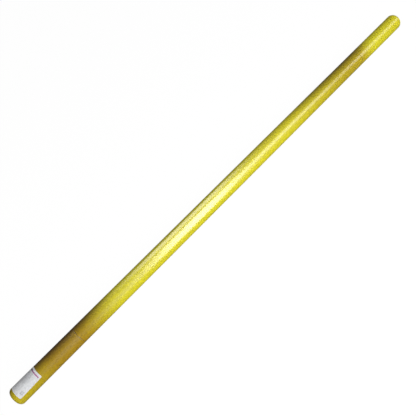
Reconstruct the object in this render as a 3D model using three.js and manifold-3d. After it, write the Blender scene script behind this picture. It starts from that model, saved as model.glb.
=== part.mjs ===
// Windsock and telescopic pole, packed closed in its yellow carry tube.
// The tube is the lowest section of the pole. It lies along +X on the ground, foot end at -X,
// with +Z up and the origin under the middle of its length.
// Every piece is drawn in the tube's own frame first: its axis is Z, and its places along that
// axis, called stations, are counted in millimetres from the flat face of the foot cover.

import * as THREE from 'three';
import { mergeVertices } from 'three/addons/utils/BufferGeometryUtils.js';
import Module from 'manifold-3d';

const wasm = await Module();
wasm.setup();

// ---- Driving dimensions -------------------------------------------------------------------

// Carry tube
const TUBE_LENGTH = 1600;
const TUBE_DIAMETER = 50;
const TUBE_WALL = 2;
const COVER_LENGTH = 210;
const COVER_END_WALL = 3;
const COVER_CORNER_RADIUS = 9;
const HEAD_CROWN_RADIUS = 100;
const SEAM_GAP = 0.5;

// Label on the foot cover
const LABEL_LENGTH = 70;
const LABEL_WIDTH = 52;
const LABEL_THICKNESS = 0.25;
const LABEL_SETBACK = 13;

// Clearances, on the radius or face to face
const FIXED_GAP = 0.3;
const RUNNING_GAP = 0.4;
const REST_GAP = 0.5;

// Couplers glued into the two ends of the body tube
const COUPLER_ENGAGEMENT = 30;
const COUPLER_DEPTH = 40;
const COUPLER_WALL = 2.5;
const COUPLER_LEAD = 1;
const BULKHEAD_THICKNESS = 10;
const SEAL_SECTION_RADIUS = 0.6;
const SEAL_SETBACK = 10;
const SEAL_PROUD = 0.15;
const SEAL_GROOVE_WIDTH = 2;
const SEAL_GROOVE_DEPTH = 1.3;

// Ground spike under the lower coupler
const SPIKE_WIDTH = 28;
const SPIKE_THICKNESS = 3;
const SPIKE_POINT_LENGTH = 55;
const SPIKE_TIP_ROOM = 9;
const SPIKE_FLANGE_THICKNESS = 8;
const SPIKE_STUD_RADIUS = 4;
const SPIKE_STUD_END = 2;
const SPIKE_WASHER_RADIUS = 9;
const SPIKE_WASHER_THICKNESS = 1.6;
const SPIKE_NUT_FLATS = 13;
const SPIKE_NUT_HEIGHT = 6.5;
const BUMPER_HEIGHT = 12.5;
const BUMPER_BORE_ROOM = 1;

// Mast stages
const MID_STAGE_GAP = 3;
const TOP_STAGE_GAP = 2.5;
const MAST_WALL = 1.5;
const MID_GRIP = 4;
const TOP_GRIP = 4;
const BUSH_SPIGOT = 25;
const BUSH_FLANGE = 5;

// Twist lock at the foot of each stage
const LOCK_STUD_RADIUS = 3;
const LOCK_NUT_RADIUS = 6;
const LOCK_NUT_HEIGHT = 5;
const EXPANDER_LENGTH = 26;
const EXPANDER_WALL = 7;
const EXPANDER_SLOT = 3;
const CONE_LENGTH = 16;
const CONE_TAPER = 3;
const GUIDE_FLANGE = 6;
const PLUG_SPIGOT = 30;
const STUD_SETBACK = 2;

// Swivel head
const SPINDLE_RADIUS = 3;
const SPINDLE_GRIP = 20;
const SPINDLE_NUT_FLATS = 10;
const SPINDLE_NUT_HEIGHT = 5;
const SPINDLE_END = 1;
const HEAD_WASHER_THICKNESS = 1.2;
const THRUST_WASHER_RADIUS = 11;
const THRUST_WASHER_THICKNESS = 1.6;
const PIVOT_BUSH_WALL = 2.8;
const PIVOT_BUSH_FLANGE_RADIUS = 10;
const PIVOT_BUSH_FLANGE = 2;
const YOKE_RADIUS = 14;
const YOKE_BASE_HEIGHT = 19;
const YOKE_CHEEK_THICKNESS = 5;
const YOKE_CHEEK_HALF_WIDTH = 7;
const TILT_PIN_RADIUS = 2;
const TILT_PIN_HEAD_RADIUS = 3.5;
const TILT_PIN_HEAD = 1.5;

// Folding mouth frame
const STEM_RADIUS = 4;
const STEM_EYE_RADIUS = 5.5;
const STEM_CAP_RADIUS = 6;
const STEM_CAP_SKIRT = 5;
const STEM_CAP_CROWN = 3;
const STEM_TOP_ROOM = 12;
const RIB_HUB_HEIGHT = 11;
const RIB_HUB_RISE = 4.5;
const RIB_HUB_RIM = 2.5;
const RIB_CIRCLE_RADIUS = 10.5;
const RIB_WIRE_RADIUS = 0.8;
const RIB_ROD_RADIUS = 1.2;
const RIB_EYE_WALL = 1.55;
const RIB_EYE_THICKNESS = 2.4;
const RIB_TIP_RADIUS = 2.2;
const RIB_TOP_ROOM = 14;
const RIB_COUNT = 4;

// Furled windsock
const SOCK_INNER_RADIUS = 14;
const SOCK_COVER_ROOM = 2;
const SOCK_HUB_ROOM = 3;
const SOCK_TOP_ROOM = 11;
const STRAP_WIDTH = 20;
const STRAP_THICKNESS = 1;

// Facets of round pieces
const TUBE_SEGMENTS = 32;
const MAST_SEGMENTS = 24;
const SMALL_SEGMENTS = 16;
const CORNER_STEPS = 4;
const CROWN_STEPS = 3;

// ---- Radii and stations worked out from them ----------------------------------------------

const tubeRadius = TUBE_DIAMETER / 2;
const tubeBore = tubeRadius - TUBE_WALL;
const couplerRadius = tubeBore - FIXED_GAP;
const midRadius = tubeBore - MID_STAGE_GAP;
const midBore = midRadius - MAST_WALL;
const topRadius = midBore - TOP_STAGE_GAP;
const topBore = topRadius - MAST_WALL;

const footSeam = COVER_LENGTH;
const headSeam = TUBE_LENGTH - COVER_LENGTH;

const lowerCouplerEnd = footSeam + COUPLER_DEPTH;
const bulkheadUnderside = lowerCouplerEnd - BULKHEAD_THICKNESS;
const spikeWasherStart = lowerCouplerEnd + FIXED_GAP;
const spikeNutStart = spikeWasherStart + SPIKE_WASHER_THICKNESS + FIXED_GAP;
const spikeStudEnd = spikeNutStart + SPIKE_NUT_HEIGHT + SPIKE_STUD_END;
const bumperStart = lowerCouplerEnd + FIXED_GAP;
const bumperEnd = bumperStart + BUMPER_HEIGHT;

const upperCouplerEnd = headSeam + COUPLER_ENGAGEMENT;

const midLock = lockStations(bumperEnd + REST_GAP);
const topLock = lockStations(midLock.plugEnd + REST_GAP);
const midTubeEnd = upperCouplerEnd + MID_GRIP;
const midMouthEnd = midTubeEnd + FIXED_GAP + BUSH_FLANGE;
const topTubeEnd = midMouthEnd + TOP_GRIP;

const headPlugEnd = topTubeEnd + FIXED_GAP + BUSH_FLANGE;
const thrustWasherStart = headPlugEnd + FIXED_GAP;
const lowerBushStart = thrustWasherStart + THRUST_WASHER_THICKNESS + FIXED_GAP;
const yokeStart = lowerBushStart + PIVOT_BUSH_FLANGE + FIXED_GAP;
const yokeBaseEnd = yokeStart + YOKE_BASE_HEIGHT;
const headWasherStart = yokeBaseEnd + FIXED_GAP;
const spindleNutStart = headWasherStart + HEAD_WASHER_THICKNESS + FIXED_GAP;
const spindleEnd = spindleNutStart + SPINDLE_NUT_HEIGHT + SPINDLE_END;
const tiltStation = spindleEnd + REST_GAP + STEM_EYE_RADIUS;

const ceilingStation = TUBE_LENGTH - COVER_END_WALL;
const stemEnd = ceilingStation - STEM_TOP_ROOM;
const ribHubStart = tiltStation + STEM_EYE_RADIUS + RIB_HUB_RISE;
const ribHubEnd = ribHubStart + RIB_HUB_HEIGHT;
const ribWireStation = ribHubStart + RIB_HUB_HEIGHT / 2;
const ribTipStation = ceilingStation - RIB_TOP_ROOM;
const sockStart = ribHubEnd + SOCK_HUB_ROOM;
const sockEnd = ceilingStation - SOCK_TOP_ROOM;
const sockRadius = tubeBore - SOCK_COVER_ROOM;

const nutCornerRadius = SPINDLE_NUT_FLATS / Math.sqrt(3);
const forkHalfGap = nutCornerRadius + RUNNING_GAP;
const cheekOuter = forkHalfGap + YOKE_CHEEK_THICKNESS;
const pivotBushRadius = SPINDLE_RADIUS + FIXED_GAP + PIVOT_BUSH_WALL;
const ribEyeBore = RIB_WIRE_RADIUS + RUNNING_GAP;
const ribEyeRadius = ribEyeBore + RIB_EYE_WALL;

// Stations of one twist lock, from its lowest end.
function lockStations(start) {
  const sleeveStart = start + LOCK_NUT_HEIGHT + FIXED_GAP;
  const flangeStart = sleeveStart + EXPANDER_LENGTH + FIXED_GAP;
  const flangeEnd = flangeStart + GUIDE_FLANGE;
  const plugEnd = flangeEnd + PLUG_SPIGOT;
  return { start, sleeveStart, flangeStart, flangeEnd, plugEnd, studEnd: plugEnd - STUD_SETBACK };
}

// ---- Materials ----------------------------------------------------------------------------

function finish(color, roughness, metalness) {
  return new THREE.MeshStandardMaterial({ color, roughness, metalness });
}

const yellowPlastic = finish(0xe3d33a, 0.3, 0);
const labelPaper = finish(0xe3e4e6, 0.7, 0);
const blackNylon = finish(0x26272a, 0.6, 0);
const whiteAcetal = finish(0xe4e2da, 0.45, 0);
const rubber = finish(0x1b1b1c, 0.9, 0);
const galvanisedSteel = finish(0x9b9fa3, 0.5, 1);
const zincSteel = finish(0xb4b4ae, 0.35, 1);
const aluminium = finish(0xc2c5c8, 0.35, 1);
const brass = finish(0xb7964a, 0.35, 1);
const sockCloth = finish(0xe8571c, 0.85, 0);
const strapCloth = finish(0x202124, 0.9, 0);

// ---- Geometry helpers ---------------------------------------------------------------------

// One point where vertices meet, and no collapsed triangles.
function weld(geometry) {
  geometry.deleteAttribute('normal');
  geometry.deleteAttribute('uv');
  const merged = mergeVertices(geometry, 1e-4);
  const kept = [];
  for (let i = 0; i < merged.index.count; i += 3) {
    const [a, b, c] = [0, 1, 2].map((k) => merged.index.getX(i + k));
    if (a !== b && b !== c && c !== a) kept.push(a, b, c);
  }
  merged.setIndex(kept);
  merged.computeVertexNormals();
  return merged;
}

// A [radius, station] outline turned about Z. It runs up the outside and down the inside, and
// starts and ends on the axis or closes on itself.
function turned(outline, segments = SMALL_SEGMENTS) {
  const points = outline.map(([radius, station]) => new THREE.Vector2(radius, station));
  return weld(new THREE.LatheGeometry(points, segments).rotateX(Math.PI / 2));
}

function closed(outline) {
  return [...outline, outline[0]];
}

function rod(radius, start, end, segments) {
  return turned([[0, start], [radius, start], [radius, end], [0, end]], segments);
}

function sleeve(inner, outer, start, end, segments) {
  return turned(closed([[outer, start], [outer, end], [inner, end], [inner, start]]), segments);
}

// A flat shape in XY given a height along Z.
function raised(shape, start, end, curveSegments = 12) {
  const options = { depth: end - start, bevelEnabled: false, curveSegments };
  return weld(new THREE.ExtrudeGeometry(shape, options).translate(0, 0, start));
}

// The same shape stood up: its Y becomes Z, and its thickness is centred on the Y axis.
function upright(shape, thickness, curveSegments = 12) {
  const flat = raised(shape, -thickness / 2, thickness / 2, curveSegments);
  return flat.rotateX(Math.PI / 2);
}

function block(width, depth, start, end) {
  const box = new THREE.BoxGeometry(width, depth, end - start);
  return weld(box.translate(0, 0, (start + end) / 2));
}

// Points of an arc in an outline, from one angle to another in radians.
function arc(radius, station, size, from, to, steps) {
  return Array.from({ length: steps + 1 }, (_, i) => {
    const angle = from + ((to - from) * i) / steps;
    return [radius + size * Math.cos(angle), station + size * Math.sin(angle)];
  });
}

function toSolid(geometry) {
  return new wasm.Manifold(new wasm.Mesh({
    numProp: 3,
    vertProperties: new Float32Array(geometry.attributes.position.array),
    triVerts: new Uint32Array(geometry.index.array),
  }));
}

function fromSolid(solid) {
  const { vertProperties, triVerts } = solid.getMesh();
  const geometry = new THREE.BufferGeometry();
  geometry.setAttribute('position', new THREE.BufferAttribute(vertProperties, 3));
  geometry.setIndex(new THREE.BufferAttribute(triVerts, 1));
  geometry.computeVertexNormals();
  return geometry;
}

// Joins the first list of shapes and cuts the second list out of them.
function carved(joined, cut = []) {
  const whole = joined.map(toSolid).reduce((sum, next) => sum.add(next));
  return fromSolid(cut.map(toSolid).reduce((rest, next) => rest.subtract(next), whole));
}

// ---- Carry tube ---------------------------------------------------------------------------

// Outline of a closed end, from the axis out to the full radius. A crowned end is a shallow
// sphere that runs smoothly into the corner; without a crown radius the end is flat.
function endOutline(radius, corner, crownRadius) {
  const ring = radius - corner;
  if (!crownRadius) {
    return [[0, 0], ...arc(ring, corner, corner, -Math.PI / 2, 0, CORNER_STEPS)];
  }
  const cornerStation = crownRadius - Math.sqrt((crownRadius - corner) ** 2 - ring ** 2);
  const meeting = -Math.PI / 2 + Math.asin(ring / (crownRadius - corner));
  const crown = arc(0, crownRadius, crownRadius, -Math.PI / 2, meeting, CROWN_STEPS);
  return [...crown, ...arc(ring, cornerStation, corner, meeting, 0, CORNER_STEPS).slice(1)];
}

function endCover(crownRadius) {
  const outside = endOutline(tubeRadius, COVER_CORNER_RADIUS, crownRadius);
  const innerCrown = crownRadius ? crownRadius - COVER_END_WALL : 0;
  const inside = endOutline(tubeBore, COVER_CORNER_RADIUS - TUBE_WALL, innerCrown)
    .map(([radius, station]) => [radius, station + COVER_END_WALL]);
  const lip = COVER_LENGTH - SEAM_GAP / 2;
  return turned([...outside, [tubeRadius, lip], [tubeBore, lip], ...inside.reverse()], TUBE_SEGMENTS);
}

function headCover() {
  return endCover(HEAD_CROWN_RADIUS).rotateX(Math.PI).translate(0, 0, TUBE_LENGTH);
}

function bodyTube() {
  const start = footSeam + SEAM_GAP / 2;
  const end = headSeam - SEAM_GAP / 2;
  return sleeve(tubeBore, tubeRadius, start, end, TUBE_SEGMENTS);
}

// The label is a thin sheet bent round the tube, on the side that faces up.
function label() {
  const inner = tubeRadius + FIXED_GAP;
  const outer = inner + LABEL_THICKNESS;
  const halfAngle = LABEL_WIDTH / 2 / outer;
  const shape = new THREE.Shape();
  shape.absarc(0, 0, outer, Math.PI - halfAngle, Math.PI + halfAngle, false);
  shape.absarc(0, 0, inner, Math.PI + halfAngle, Math.PI - halfAngle, true);
  return raised(shape, LABEL_SETBACK, LABEL_SETBACK + LABEL_LENGTH, CORNER_STEPS * 3);
}

// Outside of a coupler with the groove of its seal ring, run from its lower end to its upper.
function grooved(start, end, sealStation) {
  const floor = couplerRadius - SEAL_GROOVE_DEPTH;
  const [low, high] = [sealStation - SEAL_GROOVE_WIDTH / 2, sealStation + SEAL_GROOVE_WIDTH / 2];
  return [
    [couplerRadius - COUPLER_LEAD, start], [couplerRadius, start + COUPLER_LEAD],
    [couplerRadius, low], [floor, low], [floor, high], [couplerRadius, high],
    [couplerRadius, end - COUPLER_LEAD], [couplerRadius - COUPLER_LEAD, end],
  ];
}

const lowerSealStation = footSeam - COUPLER_ENGAGEMENT + SEAL_SETBACK;
const upperSealStation = headSeam + COUPLER_ENGAGEMENT - SEAL_SETBACK;

function lowerCoupler() {
  const start = footSeam - COUPLER_ENGAGEMENT;
  const bore = couplerRadius - COUPLER_WALL;
  const hole = SPIKE_STUD_RADIUS + FIXED_GAP;
  return turned(closed([
    ...grooved(start, lowerCouplerEnd, lowerSealStation),
    [hole, lowerCouplerEnd], [hole, bulkheadUnderside], [bore, bulkheadUnderside], [bore, start],
  ]), MAST_SEGMENTS);
}

function upperCoupler() {
  const start = headSeam - COUPLER_DEPTH;
  const bore = midRadius + RUNNING_GAP;
  return turned(closed([
    ...grooved(start, upperCouplerEnd, upperSealStation), [bore, upperCouplerEnd], [bore, start],
  ]), MAST_SEGMENTS);
}

function sealRing(station) {
  const radius = couplerRadius + SEAL_PROUD - SEAL_SECTION_RADIUS;
  const section = arc(radius, station, SEAL_SECTION_RADIUS, 0, 2 * Math.PI, 6);
  return turned(closed(section.slice(0, -1)), MAST_SEGMENTS);
}

// ---- Ground spike -------------------------------------------------------------------------

// Two crossed blades under a round flange, with a threaded stud above it.
function groundSpike() {
  const flangeEnd = bulkheadUnderside - FIXED_GAP;
  const flangeStart = flangeEnd - SPIKE_FLANGE_THICKNESS;
  const flangeRadius = couplerRadius - COUPLER_WALL - RUNNING_GAP;
  const tip = COVER_END_WALL + SPIKE_TIP_ROOM;
  const half = SPIKE_WIDTH / 2;
  const blade = new THREE.Shape([
    new THREE.Vector2(-SPIKE_THICKNESS / 2, tip),
    new THREE.Vector2(SPIKE_THICKNESS / 2, tip),
    new THREE.Vector2(half, tip + SPIKE_POINT_LENGTH),
    new THREE.Vector2(half, flangeStart + SPIKE_FLANGE_THICKNESS / 2),
    new THREE.Vector2(-half, flangeStart + SPIKE_FLANGE_THICKNESS / 2),
    new THREE.Vector2(-half, tip + SPIKE_POINT_LENGTH),
  ]);
  return carved([
    upright(blade, SPIKE_THICKNESS),
    upright(blade, SPIKE_THICKNESS).rotateZ(Math.PI / 2),
    rod(flangeRadius, flangeStart, flangeEnd, MAST_SEGMENTS),
    rod(SPIKE_STUD_RADIUS, flangeEnd - SPIKE_FLANGE_THICKNESS / 2, spikeStudEnd),
  ]);
}

function hexNut(flats, bore, start, height) {
  const corner = flats / Math.sqrt(3);
  const shape = new THREE.Shape(Array.from({ length: 6 }, (_, i) => {
    const angle = (i * Math.PI) / 3;
    return new THREE.Vector2(corner * Math.cos(angle), corner * Math.sin(angle));
  }));
  shape.holes.push(new THREE.Path().absarc(0, 0, bore, 0, 2 * Math.PI, true));
  return raised(shape, start, start + height, SMALL_SEGMENTS);
}

function mastBumper() {
  const bore = SPIKE_WASHER_RADIUS + BUMPER_BORE_ROOM;
  return sleeve(bore, tubeBore - RUNNING_GAP, bumperStart, bumperEnd, MAST_SEGMENTS);
}

// ---- Mast stages --------------------------------------------------------------------------

// Plug in the foot of a stage, with the flange that guides it in the stage below.
function footPlug(lock, guideBore, ownBore) {
  const hole = LOCK_STUD_RADIUS + FIXED_GAP;
  const spigot = ownBore - FIXED_GAP;
  const guide = guideBore - RUNNING_GAP;
  return turned(closed([
    [guide, lock.flangeStart], [guide, lock.flangeEnd], [spigot, lock.flangeEnd],
    [spigot, lock.plugEnd], [hole, lock.plugEnd], [hole, lock.flangeStart],
  ]), MAST_SEGMENTS);
}

// Split sleeve that the cone spreads against the bore round it.
function expander(lock, guideBore) {
  const outer = guideBore - RUNNING_GAP;
  const inner = outer - EXPANDER_WALL;
  const outerHalf = Math.asin(EXPANDER_SLOT / 2 / outer);
  const innerHalf = Math.asin(EXPANDER_SLOT / 2 / inner);
  const shape = new THREE.Shape();
  shape.absarc(0, 0, outer, outerHalf, 2 * Math.PI - outerHalf, false);
  shape.absarc(0, 0, inner, 2 * Math.PI - innerHalf, innerHalf, true);
  return raised(shape, lock.sleeveStart, lock.sleeveStart + EXPANDER_LENGTH, MAST_SEGMENTS);
}

function lockCone(lock, guideBore) {
  const wide = guideBore - RUNNING_GAP - EXPANDER_WALL - FIXED_GAP;
  const hole = LOCK_STUD_RADIUS + FIXED_GAP;
  const end = lock.sleeveStart + CONE_LENGTH;
  return turned(closed([
    [wide, lock.sleeveStart], [wide - CONE_TAPER, end], [hole, end], [hole, lock.sleeveStart],
  ]), MAST_SEGMENTS);
}

// The stud is one piece with the round stop at its lower end.
function lockStud(lock) {
  return turned([
    [0, lock.start], [LOCK_NUT_RADIUS, lock.start],
    [LOCK_NUT_RADIUS, lock.start + LOCK_NUT_HEIGHT],
    [LOCK_STUD_RADIUS, lock.start + LOCK_NUT_HEIGHT],
    [LOCK_STUD_RADIUS, lock.studEnd], [0, lock.studEnd],
  ]);
}

function midTube() {
  return sleeve(midBore, midRadius, midLock.flangeEnd + FIXED_GAP, midTubeEnd, MAST_SEGMENTS);
}

function topTube() {
  return sleeve(topBore, topRadius, topLock.flangeEnd + FIXED_GAP, topTubeEnd, MAST_SEGMENTS);
}

// Bush in the mouth of the mid tube: it guides the top tube and stops it at full height.
function midMouthBush() {
  const shoulder = midTubeEnd + FIXED_GAP;
  const bore = topRadius + RUNNING_GAP;
  const spigot = midBore - FIXED_GAP;
  return turned(closed([
    [spigot, shoulder - BUSH_SPIGOT], [spigot, shoulder], [midRadius, shoulder],
    [midRadius, midMouthEnd], [bore, midMouthEnd], [bore, shoulder - BUSH_SPIGOT],
  ]), MAST_SEGMENTS);
}

// ---- Swivel head --------------------------------------------------------------------------

function headPlug() {
  const shoulder = topTubeEnd + FIXED_GAP;
  const spigot = topBore - FIXED_GAP;
  const hole = SPINDLE_RADIUS + FIXED_GAP;
  return turned(closed([
    [spigot, shoulder - BUSH_SPIGOT], [spigot, shoulder], [topRadius, shoulder],
    [topRadius, headPlugEnd], [hole, headPlugEnd], [hole, shoulder - BUSH_SPIGOT],
  ]), MAST_SEGMENTS);
}

const bushMiddle = yokeStart + YOKE_BASE_HEIGHT / 2;

function lowerPivotBush() {
  const bore = SPINDLE_RADIUS + FIXED_GAP;
  const shoulder = lowerBushStart + PIVOT_BUSH_FLANGE;
  const end = bushMiddle - FIXED_GAP / 2;
  return turned(closed([
    [PIVOT_BUSH_FLANGE_RADIUS, lowerBushStart], [PIVOT_BUSH_FLANGE_RADIUS, shoulder],
    [pivotBushRadius, shoulder], [pivotBushRadius, end], [bore, end], [bore, lowerBushStart],
  ]));
}

function upperPivotBush() {
  const bore = SPINDLE_RADIUS + FIXED_GAP;
  return sleeve(bore, pivotBushRadius, bushMiddle + FIXED_GAP / 2, yokeBaseEnd - FIXED_GAP);
}

// A turned base that swivels on the spindle, with two cheeks that carry the tilt pin.
function swivelYoke() {
  const cheekShape = new THREE.Shape();
  const half = YOKE_CHEEK_HALF_WIDTH;
  const cheekRoot = yokeBaseEnd - FIXED_GAP / 2;
  cheekShape.moveTo(-half, cheekRoot);
  cheekShape.lineTo(half, cheekRoot);
  cheekShape.absarc(0, tiltStation, half, 0, Math.PI, false);
  const pinHole = new THREE.Path().absarc(0, tiltStation, TILT_PIN_RADIUS + FIXED_GAP, 0, 2 * Math.PI, true);
  cheekShape.holes.push(pinHole);
  const offset = forkHalfGap + YOKE_CHEEK_THICKNESS / 2;
  return carved([
    sleeve(pivotBushRadius + FIXED_GAP, YOKE_RADIUS, yokeStart, yokeBaseEnd, MAST_SEGMENTS),
    upright(cheekShape, YOKE_CHEEK_THICKNESS).translate(0, offset, 0),
    upright(cheekShape, YOKE_CHEEK_THICKNESS).translate(0, -offset, 0),
  ]);
}

function tiltPin() {
  const shank = cheekOuter + FIXED_GAP;
  const end = shank + TILT_PIN_HEAD;
  return turned([
    [0, -end], [TILT_PIN_HEAD_RADIUS, -end], [TILT_PIN_HEAD_RADIUS, -shank],
    [TILT_PIN_RADIUS, -shank], [TILT_PIN_RADIUS, shank], [TILT_PIN_HEAD_RADIUS, shank],
    [TILT_PIN_HEAD_RADIUS, end], [0, end],
  ]).rotateX(Math.PI / 2).translate(0, 0, tiltStation);
}

// ---- Folding mouth frame ------------------------------------------------------------------

function mouthStem() {
  const halfEye = forkHalfGap - RUNNING_GAP;
  const eye = rod(STEM_EYE_RADIUS, -halfEye, halfEye).rotateX(Math.PI / 2);
  const hole = rod(TILT_PIN_RADIUS + FIXED_GAP, -2 * halfEye, 2 * halfEye).rotateX(Math.PI / 2);
  return carved(
    [eye.translate(0, 0, tiltStation), rod(STEM_RADIUS, tiltStation, stemEnd)],
    [hole.translate(0, 0, tiltStation)],
  );
}

// Soft cap over the free end of the stem.
function stemCap() {
  const bore = STEM_RADIUS + FIXED_GAP;
  const ceiling = stemEnd + FIXED_GAP;
  const dome = arc(0, ceiling, 1, 0, Math.PI / 2, CORNER_STEPS)
    .map(([r, z]) => [r * STEM_CAP_RADIUS, ceiling + (z - ceiling) * STEM_CAP_CROWN]);
  return turned([
    [0, ceiling], [bore, ceiling], [bore, stemEnd - STEM_CAP_SKIRT],
    [STEM_CAP_RADIUS, stemEnd - STEM_CAP_SKIRT], ...dome.slice(0, -1), [0, ceiling + STEM_CAP_CROWN],
  ]);
}

// Slotted disc round the stem. The ribs' eyes sit in the slots, on a wire laid in the groove.
function ribHub() {
  const radius = RIB_CIRCLE_RADIUS + RIB_HUB_RIM;
  const slotWidth = RIB_EYE_THICKNESS + 2 * RUNNING_GAP;
  const slotFloor = RIB_CIRCLE_RADIUS - ribEyeRadius - RUNNING_GAP;
  const grooveHalf = RIB_WIRE_RADIUS + RUNNING_GAP;
  const grooveFloor = RIB_CIRCLE_RADIUS - grooveHalf;
  const reach = 2 * radius;
  const slots = Array.from({ length: RIB_COUNT }, (_, i) => (
    block(reach, slotWidth, ribHubStart - 1, ribHubEnd + 1)
      .translate(slotFloor + reach / 2, 0, 0)
      .rotateZ(ribAngle(i))
  ));
  const groove = sleeve(grooveFloor, reach, ribWireStation - grooveHalf, ribWireStation + grooveHalf);
  const disc = sleeve(STEM_RADIUS + FIXED_GAP, radius, ribHubStart, ribHubEnd, MAST_SEGMENTS);
  return carved([disc], [...slots, groove]);
}

function ribAngle(index) {
  return ((index + 0.5) * 2 * Math.PI) / RIB_COUNT;
}

function ribWire() {
  const section = arc(RIB_CIRCLE_RADIUS, ribWireStation, RIB_WIRE_RADIUS, 0, 2 * Math.PI, 6);
  return turned(closed(section.slice(0, -1)), MAST_SEGMENTS);
}

// A rib folded along the stem: flat eye, spring rod and round tip.
function rib(index) {
  const eyeShape = new THREE.Shape().absarc(0, ribWireStation, ribEyeRadius, 0, 2 * Math.PI, false);
  const eyeHole = new THREE.Path().absarc(0, ribWireStation, ribEyeBore, 0, 2 * Math.PI, true);
  eyeShape.holes.push(eyeHole);
  const rodStart = ribWireStation + (ribEyeBore + ribEyeRadius) / 2;
  const neck = Math.asin(RIB_ROD_RADIUS / RIB_TIP_RADIUS) - Math.PI / 2;
  const tip = arc(0, ribTipStation, RIB_TIP_RADIUS, neck, Math.PI / 2, 6);
  const spring = turned(
    [[0, rodStart], [RIB_ROD_RADIUS, rodStart], ...tip.slice(0, -1), [0, ribTipStation + RIB_TIP_RADIUS]],
    12,
  );
  return carved([upright(eyeShape, RIB_EYE_THICKNESS, 8), spring])
    .translate(RIB_CIRCLE_RADIUS, 0, 0)
    .rotateZ(ribAngle(index));
}

// ---- Furled windsock ----------------------------------------------------------------------

function furledWindsock() {
  return sleeve(SOCK_INNER_RADIUS, sockRadius, sockStart, sockEnd, MAST_SEGMENTS);
}

function sockStrap() {
  const middle = (sockStart + sockEnd) / 2;
  const inner = sockRadius + FIXED_GAP;
  const [start, end] = [middle - STRAP_WIDTH / 2, middle + STRAP_WIDTH / 2];
  return sleeve(inner, inner + STRAP_THICKNESS, start, end, MAST_SEGMENTS);
}

// ---- Assembly -----------------------------------------------------------------------------

const tube = new THREE.Group();
tube.rotation.y = Math.PI / 2;
tube.position.set(-TUBE_LENGTH / 2, 0, tubeRadius);

function add(name, geometry, material) {
  const mesh = new THREE.Mesh(geometry, material);
  mesh.name = name;
  tube.add(mesh);
}

const nutBore = SPIKE_STUD_RADIUS + FIXED_GAP;
const spindleBore = SPINDLE_RADIUS + FIXED_GAP;
const thrustWasherEnd = thrustWasherStart + THRUST_WASHER_THICKNESS;
const headWasherEnd = headWasherStart + HEAD_WASHER_THICKNESS;
const headWasherRadius = forkHalfGap - RUNNING_GAP;
const spikeWasherEnd = spikeWasherStart + SPIKE_WASHER_THICKNESS;

add('foot_cover', endCover(0), yellowPlastic);
add('foot_label', label(), labelPaper);
add('body_tube', bodyTube(), yellowPlastic);
add('head_cover', headCover(), yellowPlastic);
add('lower_coupler', lowerCoupler(), blackNylon);
add('lower_seal_ring', sealRing(lowerSealStation), rubber);
add('upper_coupler', upperCoupler(), blackNylon);
add('upper_seal_ring', sealRing(upperSealStation), rubber);

add('ground_spike', groundSpike(), galvanisedSteel);
add('spike_washer', sleeve(nutBore, SPIKE_WASHER_RADIUS, spikeWasherStart, spikeWasherEnd), zincSteel);
add('spike_nut', hexNut(SPIKE_NUT_FLATS, nutBore, spikeNutStart, SPIKE_NUT_HEIGHT), zincSteel);
add('mast_bumper', mastBumper(), rubber);

add('mid_tube', midTube(), aluminium);
add('mid_foot_plug', footPlug(midLock, tubeBore, midBore), blackNylon);
add('mid_lock_stud', lockStud(midLock), zincSteel);
add('mid_lock_cone', lockCone(midLock, tubeBore), brass);
add('mid_expander', expander(midLock, tubeBore), whiteAcetal);
add('mid_mouth_bush', midMouthBush(), blackNylon);

add('top_tube', topTube(), aluminium);
add('top_foot_plug', footPlug(topLock, midBore, topBore), blackNylon);
add('top_lock_stud', lockStud(topLock), zincSteel);
add('top_lock_cone', lockCone(topLock, midBore), brass);
add('top_expander', expander(topLock, midBore), whiteAcetal);

add('head_plug', headPlug(), aluminium);
add('head_spindle', rod(SPINDLE_RADIUS, topTubeEnd - SPINDLE_GRIP, spindleEnd), zincSteel);
add('thrust_washer', sleeve(spindleBore, THRUST_WASHER_RADIUS, thrustWasherStart, thrustWasherEnd), brass);
add('lower_pivot_bush', lowerPivotBush(), whiteAcetal);
add('upper_pivot_bush', upperPivotBush(), whiteAcetal);
add('swivel_yoke', swivelYoke(), aluminium);
add('spindle_washer', sleeve(spindleBore, headWasherRadius, headWasherStart, headWasherEnd), zincSteel);
add('spindle_nut', hexNut(SPINDLE_NUT_FLATS, spindleBore, spindleNutStart, SPINDLE_NUT_HEIGHT), zincSteel);
add('tilt_pin', tiltPin(), zincSteel);

add('mouth_stem', mouthStem(), aluminium);
add('stem_cap', stemCap(), rubber);
add('rib_hub', ribHub(), blackNylon);
add('rib_wire', ribWire(), zincSteel);
for (let i = 0; i < RIB_COUNT; i += 1) add(`mouth_rib_${i + 1}`, rib(i), zincSteel);

add('furled_windsock', furledWindsock(), sockCloth);
add('sock_strap', sockStrap(), strapCloth);

export default tube;
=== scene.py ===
# %% [markdown]
# # A windsock and its pole, packed in a yellow tube
# The set is closed here: two end covers are pushed onto a long plastic tube, which is also the lowest
# section of the pole. The sliding mast and the furled windsock are inside, and they show when the
# covers come off. This lesson dresses the finished design: it makes fine surfaces and finishes for the
# pieces that the design gives, and moves none of them.

# %% Load the design
import math

import bmesh
import bpy
from mathutils import Matrix, Vector


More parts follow.
